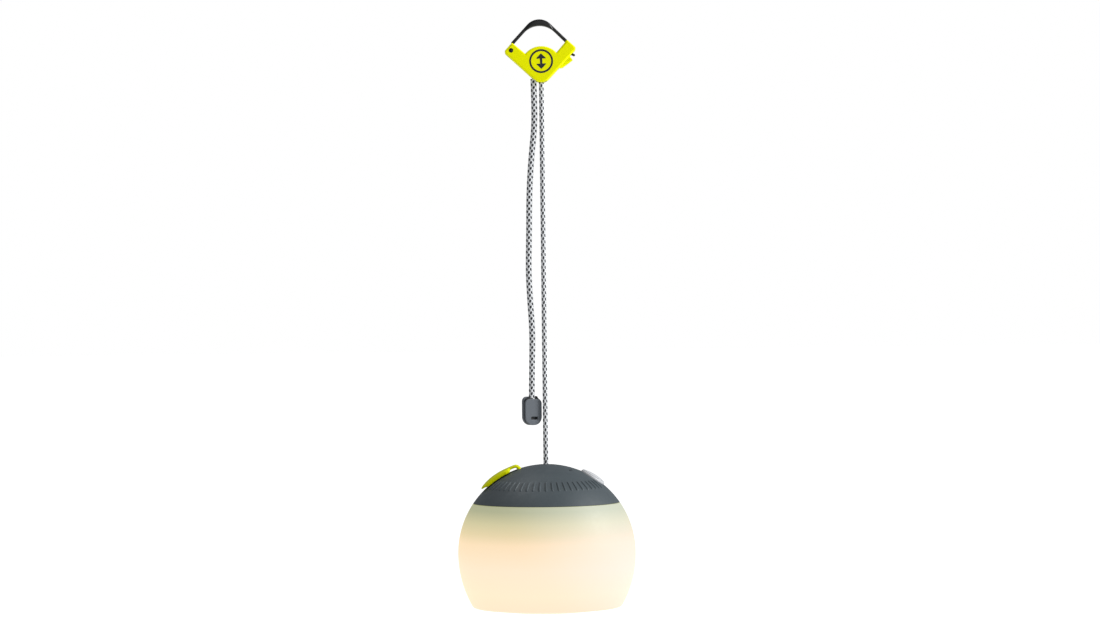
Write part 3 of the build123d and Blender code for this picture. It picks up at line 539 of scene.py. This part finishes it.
# ---- the cords ----
def smooth_line(route):
    """Points along the NURBS spline that has the route's points as its control points."""
    curve = bpy.data.curves.new("route", "CURVE")
    curve.dimensions = "3D"
    spline = curve.splines.new("NURBS")
    spline.points.add(len(route) - 1)
    for point, place in zip(spline.points, route):
        point.co = (*place, 1.0)
    spline.order_u = 3
    spline.use_endpoint_u = True
    spline.resolution_u = SPLINE_STEPS
    line = curve_mesh(curve)
    points = np.array([v.co for v in line.vertices])
    bpy.data.meshes.remove(line)
    return points


def resampled(points, step):
    """The same line in equal steps, with each place's distance along it."""
    lengths = np.linalg.norm(np.diff(points, axis=0), axis=1)
    reached = np.concatenate([[0.0], np.cumsum(lengths)])
    along = np.linspace(0.0, reached[-1], int(round(reached[-1] / step)) + 1)
    places = np.stack([np.interp(along, reached, points[:, k]) for k in range(3)], axis=1)
    return places, along


def yarn_back(offset):
    """A yarn's round back: 1 at its middle and 0 from its edge on."""
    return np.sqrt(np.clip(1 - (offset / YARN_HALF) ** 2, 0, 1))


def braid_relief(around, along, lay):
    """Height and darkness, each from 0 to 1, of light yarns that cross over slate ones.

    around is from 0 to 1 round the cord and along is in metres. The light yarns of the two ways lie on the
    whole numbers of a and b and pass over and under each other; slate flecks show in the gaps."""
    a = YARNS_PER_WAY * (around + along / lay)
    b = YARNS_PER_WAY * (around - along / lay)
    yarn_a, yarn_b = np.round(a), np.round(b)
    first = yarn_back(a - yarn_a) * (YARN_LEVEL + YARN_WAVE * np.cos(np.pi * (b + yarn_a)))
    second = yarn_back(b - yarn_b) * (YARN_LEVEL - YARN_WAVE * np.cos(np.pi * (a + yarn_b)))
    gap_a, gap_b = a - np.floor(a) - 0.5, b - np.floor(b) - 0.5
    leaning = (np.floor(a) + np.floor(b)) % 2 == 0
    wide = np.where(leaning, FLECK_LONG, FLECK_SHORT)
    tall = np.where(leaning, FLECK_SHORT, FLECK_LONG)
    reach = (gap_a / wide) ** 2 + (gap_b / tall) ** 2
    fleck = np.sqrt(np.clip(1 - reach, 0, 1))
    dark = np.clip((FLECK_EDGE - reach) / FLECK_FADE, 0, 1)
    height = np.maximum(np.maximum(first, second), FLECK_HEIGHT * fleck)
    return height, dark


def strand(name, route, radius, lay):
    """A braided cord as one closed mesh along the route, the points that it follows, and its length."""
    line, along = resampled(smooth_line(route), RING_STEP)
    tangent = np.gradient(line, axis=0)
    tangent /= np.linalg.norm(tangent, axis=1)[:, None]
    side = np.array([0.0, 1.0, 0.0])
    other = np.cross(tangent, side)
    around = np.arange(RING_POINTS) / RING_POINTS
    height, dark = braid_relief(around[None, :], along[:, None], lay)
    reach = radius - YARN_RELIEF + YARN_RELIEF * YARN_RISE * height
    angle = 2 * np.pi * around
    ring = np.cos(angle)[None, :, None] * other[:, None, :] + np.sin(angle)[None, :, None] * side
    places = line[:, None, :] + reach[:, :, None] * ring
    rows = len(line)
    vertices = np.concatenate([places.reshape(-1, 3), line[:1], line[-1:]])
    faces = [(at_k, up_k, up_n, at_n) for at_k, at_n, up_n, up_k in ring_faces(rows, RING_POINTS)]
    first, last = rows * RING_POINTS, rows * RING_POINTS + 1
    end = (rows - 1) * RING_POINTS
    for k in range(RING_POINTS):
        n = (k + 1) % RING_POINTS
        faces.append((k, n, first))
        faces.append((end + n, end + k, last))
    mesh = new_mesh(name, vertices.tolist(), faces)
    mesh.shade_smooth()
    yarn = mesh.attributes.new("yarn", "FLOAT", "POINT")
    yarn.data.foreach_set("value", np.concatenate([dark.ravel(), [0.0, 0.0]]).astype(np.float32))
    return linked(name, mesh), line, along[-1]


def cords():
    """The loaded strand down to the knot in the dome, and the slack strand down to the tag."""
    cover = braid("cord_braid").material
    taut, line, length = strand("taut_strand", TAUT_ROUTE, TAUT_R, TAUT_LAY)
    taut.data.materials.append(cover)
    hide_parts("cord_suspension")
    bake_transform(taut)
    tail, line, length = strand("slack_strand", TAIL_ROUTE, TAIL_R, TAIL_LAY)
    tail.data.materials.append(cover)
    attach(tail, "tail")
    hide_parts("cord_tail")
    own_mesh(tail)


# ---- shapes ----
def sharpen(mesh, flat):
    """Sharp shading at real edges, and round every face that is square to the flat direction."""
    work = opened(mesh)
    work.normal_update()
    for edge in work.edges:
        sides = [flat is not None and abs(face.normal.dot(flat)) > FLAT_COSINE for face in edge.link_faces]
        turned = len(sides) == 2 and edge.calc_face_angle(0.0) > SHARP_ANGLE
        edge.smooth = not (turned or any(sides) and not all(sides))
    written(work, mesh, outwards=False)


def add_piece(name, mesh, slot, body=None, replaced=(), flat=None):
    """A finished piece with its slot's material; with no body given, it is attached to no body."""
    mesh.materials.clear()
    mesh.materials.append(PAINTS[slot].material)
    mesh.shade_smooth()
    sharpen(mesh, flat)
    piece = linked(name, mesh)
    if body:
        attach(piece, body)
    if replaced:
        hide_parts(*replaced)
    return piece


def hook_place(u, y, w):
    """A point of the hook's own frame, in mm, as a place in metres."""
    return (
        (u * math.cos(LEAN) - w * math.sin(LEAN)) / 1000,
        y / 1000,
        HUB_Z + (u * math.sin(LEAN) + w * math.cos(LEAN)) / 1000,
    )


def tag_place(u, y, w):
    """A point of the tag's own frame, in mm, as a place in metres."""
    return (
        TAG_MIDDLE[0] + (u * math.cos(TAG_YAW) - y * math.sin(TAG_YAW)) / 1000,
        (u * math.sin(TAG_YAW) + y * math.cos(TAG_YAW)) / 1000,
        TAG_MIDDLE[1] + w / 1000,
    )


def arc(middle, radius, start, end, count):
    """Points on a circle from one angle to another, in degrees."""
    angles = np.radians(np.linspace(start, end, count))
    return [(middle[0] + radius * math.cos(a), middle[1] + radius * math.sin(a)) for a in angles]


def circle(middle, radius, count, backwards=False):
    """Points all the way round, with the first one given once."""
    last = 360 - 360 / count
    start, end = (last, 0) if backwards else (0, last)
    return arc(middle, radius, start, end, count)


def rounded(corners, count=14):
    """A closed outline whose corners (u, w, radius) are rounded."""
    points = []
    total = len(corners)
    for k in range(total):
        u, w, radius = corners[k]
        at = Vector((u, w))
        to_last = (Vector(corners[k - 1][:2]) - at).normalized()
        to_next = (Vector(corners[(k + 1) % total][:2]) - at).normalized()
        half = to_last.angle(to_next) / 2
        middle = at + (to_last + to_next).normalized() * radius / math.sin(half)
        first = at + to_last * radius / math.tan(half) - middle
        last = at + to_next * radius / math.tan(half) - middle
        turn = first.angle_signed(last)
        for step in range(count):
            spun = first.copy()
            spun.rotate(Matrix.Rotation(-turn * step / (count - 1), 2))
            points.append(tuple(middle + spun))
    return points


def plate(loops, y0, y1, edge, place):
    """A flat piece with rounded edges: the first loop is its outline and the others are holes, in mm."""
    curve = bpy.data.curves.new("plate", "CURVE")
    curve.dimensions = "2D"
    curve.fill_mode = "BOTH"
    curve.extrude = (y1 - y0) / 2 - edge
    curve.bevel_depth = edge
    curve.bevel_resolution = EDGE_STEPS
    curve.offset = -edge
    for loop in loops:
        spline = curve.splines.new("POLY")
        spline.points.add(len(loop) - 1)
        for point, (u, w) in zip(spline.points, loop):
            point.co = (u, w, 0.0, 1.0)
        spline.use_cyclic_u = True
    mesh = curve_mesh(curve)
    for vertex in mesh.vertices:
        u, w, depth = vertex.co
        vertex.co = (u, (y0 + y1) / 2 - depth, w)
    work = opened(mesh)
    bmesh.ops.remove_doubles(work, verts=work.verts, dist=WELD)
    written(work, mesh)
    for vertex in mesh.vertices:
        vertex.co = place(*vertex.co)
    return mesh


def prism(points, y0, y1, place):
    """A sharp-edged block on an outline, used to cut with."""
    count = len(points)
    vertices = [place(u, y0, w) for u, w in points] + [place(u, y1, w) for u, w in points]
    faces = [tuple(range(count)), tuple(range(2 * count - 1, count - 1, -1))]
    faces += ring_faces(2, count)
    return turned_outwards(new_mesh("prism", vertices, faces))


def cut(mesh, cutters):
    """The mesh with each cutter taken away."""
    piece = linked("cut", mesh)
    tools = []
    for cutter in cutters:
        tool = linked("cutter", cutter)
        change = piece.modifiers.new("cut", "BOOLEAN")
        change.operation = "DIFFERENCE"
        change.solver = "EXACT"
        change.object = tool
        tools.append(tool)
    bpy.context.view_layer.update()
    finished = piece.evaluated_get(bpy.context.evaluated_depsgraph_get())
    result = bpy.data.meshes.new_from_object(finished)
    for item in [piece, *tools]:
        bpy.data.objects.remove(item)
    return result


def loft(sections, place, squareness=5.0, count=40, hollow=0.0):
    """A closed skin through rounded sections.

    Each section is (inner point, outer point, half width), with points as (u, w) and the width across y.
    hollow lets the inner side follow a sphere: a place at y drops by y squared times hollow."""
    angles = np.linspace(0, 2 * np.pi, count, endpoint=False)
    c, s = np.cos(angles), np.sin(angles)
    across = np.sign(c) * np.abs(c) ** (2 / squareness)
    through = np.sign(s) * np.abs(s) ** (2 / squareness)
    vertices = []
    for inner, outer, half in sections:
        inner, outer = np.array(inner), np.array(outer)
        inwards = (inner - outer) / np.linalg.norm(inner - outer)
        for p, q in zip(across, through):
            y = p * half
            at = inner + (outer - inner) * (q + 1) / 2 + inwards * hollow * y * y
            vertices.append(place(at[0], y, at[1]))
    rows = len(sections)
    faces = ring_faces(rows, count)
    for row in (0, rows - 1):
        ring = vertices[row * count:(row + 1) * count]
        vertices.append(tuple(np.mean(ring, axis=0)))
        middle = len(vertices) - 1
        faces += [(row * count + k, row * count + (k + 1) % count, middle) for k in range(count)]
    return turned_outwards(new_mesh("loft", vertices, faces))


def lathe(profile, place, count=96):
    """A profile of (radius, height) in metres, turned about its axis and put in place by a matrix."""
    vertices = []
    for radius, height in profile:
        for k in range(count):
            angle = 2 * math.pi * k / count
            vertices.append(place @ Vector((radius * math.cos(angle), radius * math.sin(angle), height)))
    mesh = new_mesh("lathe", vertices, ring_faces(len(profile), count))
    work = opened(mesh)
    bmesh.ops.remove_doubles(work, verts=work.verts, dist=WELD / 1000)
    bmesh.ops.holes_fill(work, edges=work.edges, sides=count)
    return written(work, mesh)


def on_dome(polar, azimuth, radius=SPHERE_R):
    """A place over the dome: polar from the vertical, azimuth from +X, in degrees."""
    p, a = math.radians(polar), math.radians(azimuth)
    return Vector((
        radius * math.sin(p) * math.cos(a),
        radius * math.sin(p) * math.sin(a),
        LAMP_Z + radius * math.cos(p),
    ))


# ---- the lamp's own pieces ----
def dome_ribs():
    """A band of moulded grip ribs round the front of the dome."""
    vertices, faces = [], []
    long_steps, wide_steps = RIB_STEPS
    middle, half = (RIB_POLAR[0] + RIB_POLAR[1]) / 2, (RIB_POLAR[1] - RIB_POLAR[0]) / 2
    for azimuth in np.linspace(-90 - RIB_SWEEP, -90 + RIB_SWEEP, RIB_COUNT):
        start = len(vertices)
        for i in range(long_steps):
            along = 2 * i / (long_steps - 1) - 1
            for j in range(wide_steps):
                across = 2 * j / (wide_steps - 1) - 1
                rise = (1 - abs(along) ** RIB_END_POWER) * (1 - across ** RIB_SIDE_POWER)
                radius = SPHERE_R - RIB_SUNK + (RIB_PROUD + RIB_SUNK) * rise
                vertices.append(on_dome(middle + half * along, azimuth + RIB_HALF * across, radius))
        for i in range(long_steps - 1):
            for j in range(wide_steps - 1):
                at = start + i * wide_steps + j
                faces.append((at, at + wide_steps, at + wide_steps + 1, at + 1))
    mesh = new_mesh("dome_ribs", vertices, faces)
    work = opened(mesh)
    backs = bmesh.ops.holes_fill(work, edges=work.edges, sides=0)["faces"]
    bmesh.ops.poke(work, faces=backs)
    add_piece("dome_ribs", written(work, mesh), "dome_slate", "lamp")


def button():
    """The domed power button, with faint rings moulded in its face."""
    face = []
    for r in np.linspace(0.0, BUTTON_FACE, 60):
        rings = BUTTON_RING_RELIEF * math.cos(2 * math.pi * r * BUTTON_RINGS)
        if r <= BUTTON_RINGS_FROM:
            rings = 0.0
        face.append((BUTTON_R * r, BUTTON_PROUD - BUTTON_FALL * r * r + rings))
    edge = arc((BUTTON_R - BUTTON_EDGE_R, BUTTON_PROUD - BUTTON_EDGE_DROP), BUTTON_EDGE_R, 70, 0, count=12)
    side = [(BUTTON_R, BUTTON_SIDE), (BUTTON_R, BUTTON_BACK), (0.0, BUTTON_BACK)]
    middle = on_dome(BUTTON_POLAR, 0)
    outwards = (middle - Vector((0, 0, LAMP_Z))).normalized()
    turn = Vector((0, 0, 1)).rotation_difference(outwards).to_matrix().to_4x4()
    place = Matrix.Translation(middle) @ turn
    add_piece("button_face", lathe(face + edge + side, place), "button_grey", "button", ["button_cap"])


def flap_point(u, y, w):
    """A point beside the lamp's middle, in mm, as a place in metres."""
    return (u / 1000, y / 1000, LAMP_Z + w / 1000)


def flap():
    """The silicone port flap with its strap and foot in one, as it is moulded."""
    steps = np.linspace(0, len(FLAP_OUTER) - 1, FLAP_STEPS)
    index = np.arange(len(FLAP_OUTER))
    polar_out, radius_out, half = (np.interp(steps, index, column) for column in zip(*FLAP_OUTER))
    polar_in, radius_in = (np.interp(steps, index, column) for column in zip(*FLAP_INNER))
    sections = []
    for k in range(FLAP_STEPS):
        p_in, p_out = math.radians(polar_in[k]), math.radians(polar_out[k])
        low = (-radius_in[k] * math.sin(p_in), radius_in[k] * math.cos(p_in))
        high = (-radius_out[k] * math.sin(p_out), radius_out[k] * math.cos(p_out))
        sections.append((low, high, half[k]))
    mesh = loft(sections, flap_point, FLAP_SQUARENESS, hollow=FLAP_HOLLOW)
    piece = add_piece("flap_silicone", mesh, "flap_lime", replaced=["port_flap", "flap_foot"])
    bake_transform(piece)


# ---- the hook's own pieces ----
def lock_outline():
    """The V with its rounded corners, and the hub's curve between the arms."""
    start = math.degrees(math.atan2(LOCK_NOTCH[1] - HUB_MIDDLE[1], -LOCK_NOTCH[0]))
    hub = arc(HUB_MIDDLE, HUB_R, start - HUB_TRIM, 180 + HUB_TRIM - start, count=60)
    return rounded(LOCK_CORNERS) + hub


def lock_shells():
    """The two half shells, hollow where the bail, the cam and the cord go."""
    whole = plate([lock_outline()], -LOCK_HALF, LOCK_HALF, LOCK_EDGE, hook_place)
    pin_hole = circle(BAIL_PIN, PIN_HOLE_R, ROUND_POINTS)
    pin_head = circle(BAIL_PIN, PIN_HEAD_ROOM_R, ROUND_POINTS)
    rooms = [
        (CAM_ROOM, -CAM_ROOM_HALF, CAM_ROOM_HALF),
        (rounded(LEFT_ROOM), -LEFT_ROOM_HALF, LEFT_ROOM_HALF),
        (RIGHT_ROOM, -RIGHT_ROOM_HALF, RIGHT_ROOM_HALF),
        (CHANNEL, -CHANNEL_HALF, CHANNEL_HALF),
        (MOUTH, -MOUTH_HALF, MOUTH_HALF),
        (pin_hole, -PIN_CUT_HALF, PIN_CUT_HALF),
        (pin_head, -PIN_CUT_HALF, -PIN_HEAD_FROM),
        (pin_head, PIN_HEAD_FROM, PIN_CUT_HALF),
    ]
    cutters = [prism(outline, y0, y1, hook_place) for outline, y0, y1 in rooms]
    hollow = cut(whole, cutters)
    for name, node, side in (("lock_front", "lock_front_shell", -1), ("lock_rear", "lock_rear_shell", 1)):
        half = hollow.copy()
        work = opened(half)
        everything = work.verts[:] + work.edges[:] + work.faces[:]
        made = bmesh.ops.bisect_plane(work, geom=everything, plane_co=(0, side * SHELL_GAP, 0),
                                      plane_no=(0, -side, 0), clear_outer=True)
        rim = [item for item in made["geom_cut"] if isinstance(item, bmesh.types.BMEdge)]
        bmesh.ops.holes_fill(work, edges=rim, sides=0)
        add_piece(name, written(work, half, outwards=False), "lock_lime", "lock", [node], HOOK_FLAT)


def badge():
    """A slate ring and a plain up-and-down arrow let into the front shell."""
    front = -LOCK_HALF - BADGE_PROUD
    ring = [circle((0, 0), BADGE_R, BADGE_POINTS),
            circle((0, 0), BADGE_R - BADGE_LINE, BADGE_POINTS, backwards=True)]
    mark = rounded([(u, w, BADGE_MARK_R) for u, w in BADGE_MARK], count=5)
    for name, loops, node in (("badge_line", ring, "badge_ring"), ("badge_arrow", [mark], "badge_symbol")):
        mesh = plate(loops, front, front + BADGE_DEPTH, BADGE_EDGE, hook_place)
        add_piece(name, mesh, "badge_slate", "lock", [node], HOOK_FLAT)


def bail():
    """The bail: thin legs, a wider crown, an eye on the pin and a stub that latches in the right arm."""
    sine, cosine = math.sin(BAIL_SLOPE), math.cos(BAIL_SLOPE)
    outer_middle = BAIL_TOP - BAIL_BEND_R
    apex = outer_middle + BAIL_BEND_R / cosine
    inner_middle = apex - BAIL_T / cosine - CROWN_IN_R / cosine
    crown = []
    for t in np.linspace(-1, 1, BAIL_STEPS):
        across, up = math.sin(t * BAIL_SLOPE), math.cos(t * BAIL_SLOPE)
        outer = (BAIL_SHIFT + BAIL_BEND_R * across, outer_middle + BAIL_BEND_R * up)
        inner = (BAIL_SHIFT + CROWN_IN_R * across, inner_middle + CROWN_IN_R * up)
        wide = BAIL_HALF + (CROWN_HALF - BAIL_HALF) * (1 - abs(t) ** CROWN_POWER)
        crown.append((inner, outer, wide))
    out_u, out_w = BAIL_REACH, apex - BAIL_REACH * math.tan(BAIL_SLOPE)
    in_u, in_w = out_u - BAIL_T * sine, out_w - BAIL_T * cosine
    left = [((BAIL_PIN[0] + BAIL_ROOT, BAIL_PIN[1]), (BAIL_PIN[0] - BAIL_ROOT, BAIL_PIN[1]), BAIL_HALF),
            ((BAIL_SHIFT - in_u, in_w), (BAIL_SHIFT - out_u, out_w), BAIL_HALF)]
    right = [((BAIL_SHIFT + in_u, in_w), (BAIL_SHIFT + out_u, out_w), BAIL_HALF),
             (*BAIL_LATCH, BAIL_HALF)]
    add_piece("bail_arch", loft(left + crown + right, hook_place), "bail_black", "bail", ["bail"])
    eye = [circle(BAIL_PIN, EYE_R, ROUND_POINTS), circle(BAIL_PIN, EYE_HOLE_R, ROUND_POINTS, backwards=True)]
    eye_mesh = plate(eye, -BAIL_HALF, BAIL_HALF, EYE_EDGE, hook_place)
    add_piece("bail_eye", eye_mesh, "bail_black", "bail", flat=HOOK_FLAT)
    stub = [(0.0, STUB_LOW), (STUB_R, STUB_LOW)] + arc((0.0, STUB_HIGH), STUB_R, 0, 90, count=8)
    turn = Matrix.Rotation(STUB_TURN - LEAN, 4, "Y")
    place = Matrix.Translation(hook_place(STUB_PLACE[0], 0, STUB_PLACE[1])) @ turn
    add_piece("bail_stub", lathe(stub, place, count=32), "bail_black", "bail")


def pin():
    """The bail's pin, its two ends domed."""
    angles = np.radians(np.linspace(0, 90, 10))
    end = [(PIN_HEAD_R * math.sin(a), PIN_HALF + PIN_DOMING * math.cos(a)) for a in angles]
    end += [(PIN_HEAD_R, PIN_NECK_HALF), (PIN_NECK_R, PIN_NECK_HALF)]
    profile = end + [(x, -z) for x, z in end[::-1]]
    middle = hook_place(BAIL_PIN[0], 0, BAIL_PIN[1])
    place = Matrix.Translation(middle) @ Matrix.Rotation(math.pi / 2, 4, "X")
    add_piece("pin_black", lathe(profile, place, count=48), "black_steel", "lock", ["bail_pin"])


def spring():
    """The cam's coil spring, wound from its foot to its head."""
    foot, head = np.array(SPRING_FOOT), np.array(SPRING_HEAD)
    axis = (head - foot) / np.linalg.norm(head - foot)
    across = np.array([axis[1], -axis[0]])
    turns = SPRING_LENGTH / SPRING_PITCH
    share = np.linspace(0, 1, int(turns * SPRING_STEPS) + 1)
    ring = np.linspace(0, 2 * np.pi, SPRING_WIRE_POINTS, endpoint=False)
    rise = math.atan2(SPRING_PITCH, 2 * math.pi * SPRING_R)
    vertices = []
    for t in share:
        turn = 2 * np.pi * turns * t
        for a in ring:
            out = SPRING_R + SPRING_WIRE_R * math.cos(a)
            up = SPRING_LENGTH * t + SPRING_WIRE_R * math.sin(a) * math.cos(rise)
            back = SPRING_WIRE_R * math.sin(a) * math.sin(rise)
            along = out * math.cos(turn) + back * math.sin(turn)
            y = out * math.sin(turn) - back * math.cos(turn)
            at = foot + axis * up + across * along
            vertices.append(hook_place(at[0], y, at[1]))
    count, rows = len(ring), len(share)
    faces = ring_faces(rows, count)
    faces.append(tuple(range(count))[::-1])
    faces.append(tuple(range((rows - 1) * count, rows * count)))
    mesh = turned_outwards(new_mesh("spring", vertices, faces))
    piece = add_piece("cam_coil", mesh, "steel", replaced=["cam_spring"])
    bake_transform(piece)


# ---- the tag ----
def tag_outline(inset, low=0.0):
    """A plate's outline, set in all round and with its top lowered."""
    w, h, top = TAG_HALF_W - inset, TAG_HALF_H - inset, TAG_HALF_H - inset - low
    upper, lower = TAG_TOP_R - inset, TAG_END_R - inset
    return rounded([(w, -h, lower), (w, top, upper), (-w, top, upper), (-w, -h, lower)], count=28)


def tag():
    """A front plate, a darker core that is set back and shows beside the cord, and a taller rear plate."""
    y0, y1, y2, y3 = TAG_Y
    window = rounded([(u, w, TAG_WINDOW_R) for u, w in TAG_WINDOW], count=6)
    face = plate([tag_outline(0, TAG_FRONT_LOW), window], y0, y1, TAG_FACE_EDGE, tag_place)
    add_piece("tag_face", face, "tag_slate", "tag", ["tag_front"], TAG_FLAT)
    pocket = rounded([(u, w, TAG_POCKET_R) for u, w in TAG_POCKET], count=6)
    core = plate([tag_outline(TAG_CORE_IN), pocket], y1 - TAG_CORE_LAP, y2 + TAG_CORE_LAP, TAG_CORE_EDGE,
                 tag_place)
    add_piece("tag_middle", core, "seal_black", "tag", ["tag_core"], TAG_FLAT)
    bump = plate([rounded(TAG_BUMP, count=12)], y1 + TAG_BUMP_BACK, y2, TAG_BUMP_EDGE, tag_place)
    add_piece("tag_bump", bump, "seal_black", "tag", flat=TAG_FLAT)
    rear = plate([tag_outline(0)], y2, y3, TAG_BACK_EDGE, tag_place)
    add_piece("tag_back", rear, "tag_slate", "tag", ["tag_rear"], TAG_FLAT)


# ---- studio ----
def area_light(name, place, target, size, watts):
    light = bpy.data.lights.new(name, "AREA")
    light.shape = "DISK"
    light.size = size
    light.energy = watts
    holder = linked(name, light)
    holder.location = place
    holder.rotation_euler = (Vector(target) - Vector(place)).to_track_quat("-Z", "Y").to_euler()


def white_room():
    """A world that lights the object evenly and that the camera sees as plain white."""
    world = bpy.data.worlds.new("white_room")
    world.use_nodes = True
    bpy.context.scene.world = world
    tree = world.node_tree
    light = tree.nodes["Background"]
    light.inputs["Color"].default_value = WHITE
    light.inputs["Strength"].default_value = ROOM_LIGHT
    seen = tree.nodes.new("ShaderNodeBackground")
    seen.inputs["Color"].default_value = WHITE
    seen.inputs["Strength"].default_value = 1.0
    path = tree.nodes.new("ShaderNodeLightPath")
    mix = tree.nodes.new("ShaderNodeMixShader")
    tree.links.new(path.outputs["Is Camera Ray"], mix.inputs[0])
    tree.links.new(light.outputs[0], mix.inputs[1])
    tree.links.new(seen.outputs[0], mix.inputs[2])
    tree.links.new(mix.outputs[0], tree.nodes["World Output"].inputs["Surface"])


def studio():
    """The white room, its lights with a large soft key from the right, and a pale floor."""
    white_room()
    for light in LIGHTS:
        area_light(*light)
    paint = Paint("floor", (0.9, 0.9, 0.9, 1), 0.8)
    seen = paint.tree.nodes.new("ShaderNodeLightPath").outputs["Is Camera Ray"]
    glow = paint.ranged(seen, 0.0, 1.0, *FLOOR_GLOW)
    paint.link(glow, paint.shader.inputs["Emission Strength"])
    paint.set(emission_color=WHITE)
    paint.material.cycles.emission_sampling = "NONE"
    corners = [(FLOOR_HALF * x, FLOOR_HALF * y, FLOOR_Z) for x, y in ((-1, -1), (1, -1), (1, 1), (-1, 1))]
    mesh = new_mesh("floor", corners, [(0, 1, 2, 3)])
    mesh.materials.append(paint.material)
    floor = linked("floor", mesh)
    bpy.context.scene.view_settings.view_transform = "Standard"


def camera():
    """The photograph's view: square to the front, a little rolled."""
    lens = bpy.data.cameras.new("camera")
    lens.sensor_width = SENSOR_WIDTH
    lens.lens = SENSOR_WIDTH * VIEW_DISTANCE / VIEW_WIDTH
    lens.clip_end = VIEW_FAR
    holder = linked("camera", lens)
    holder.location = (VIEW_CENTRE[0], -VIEW_DISTANCE, VIEW_CENTRE[1])
    holder.rotation_euler = (math.pi / 2, math.radians(VIEW_ROLL), 0)
    bpy.context.scene.camera = holder


camera()
tag()
cords()
studio()
paint_cad_nodes()
dome_ribs()
button()
flap()
lock_shells()
badge()
bail()
pin()
spring()
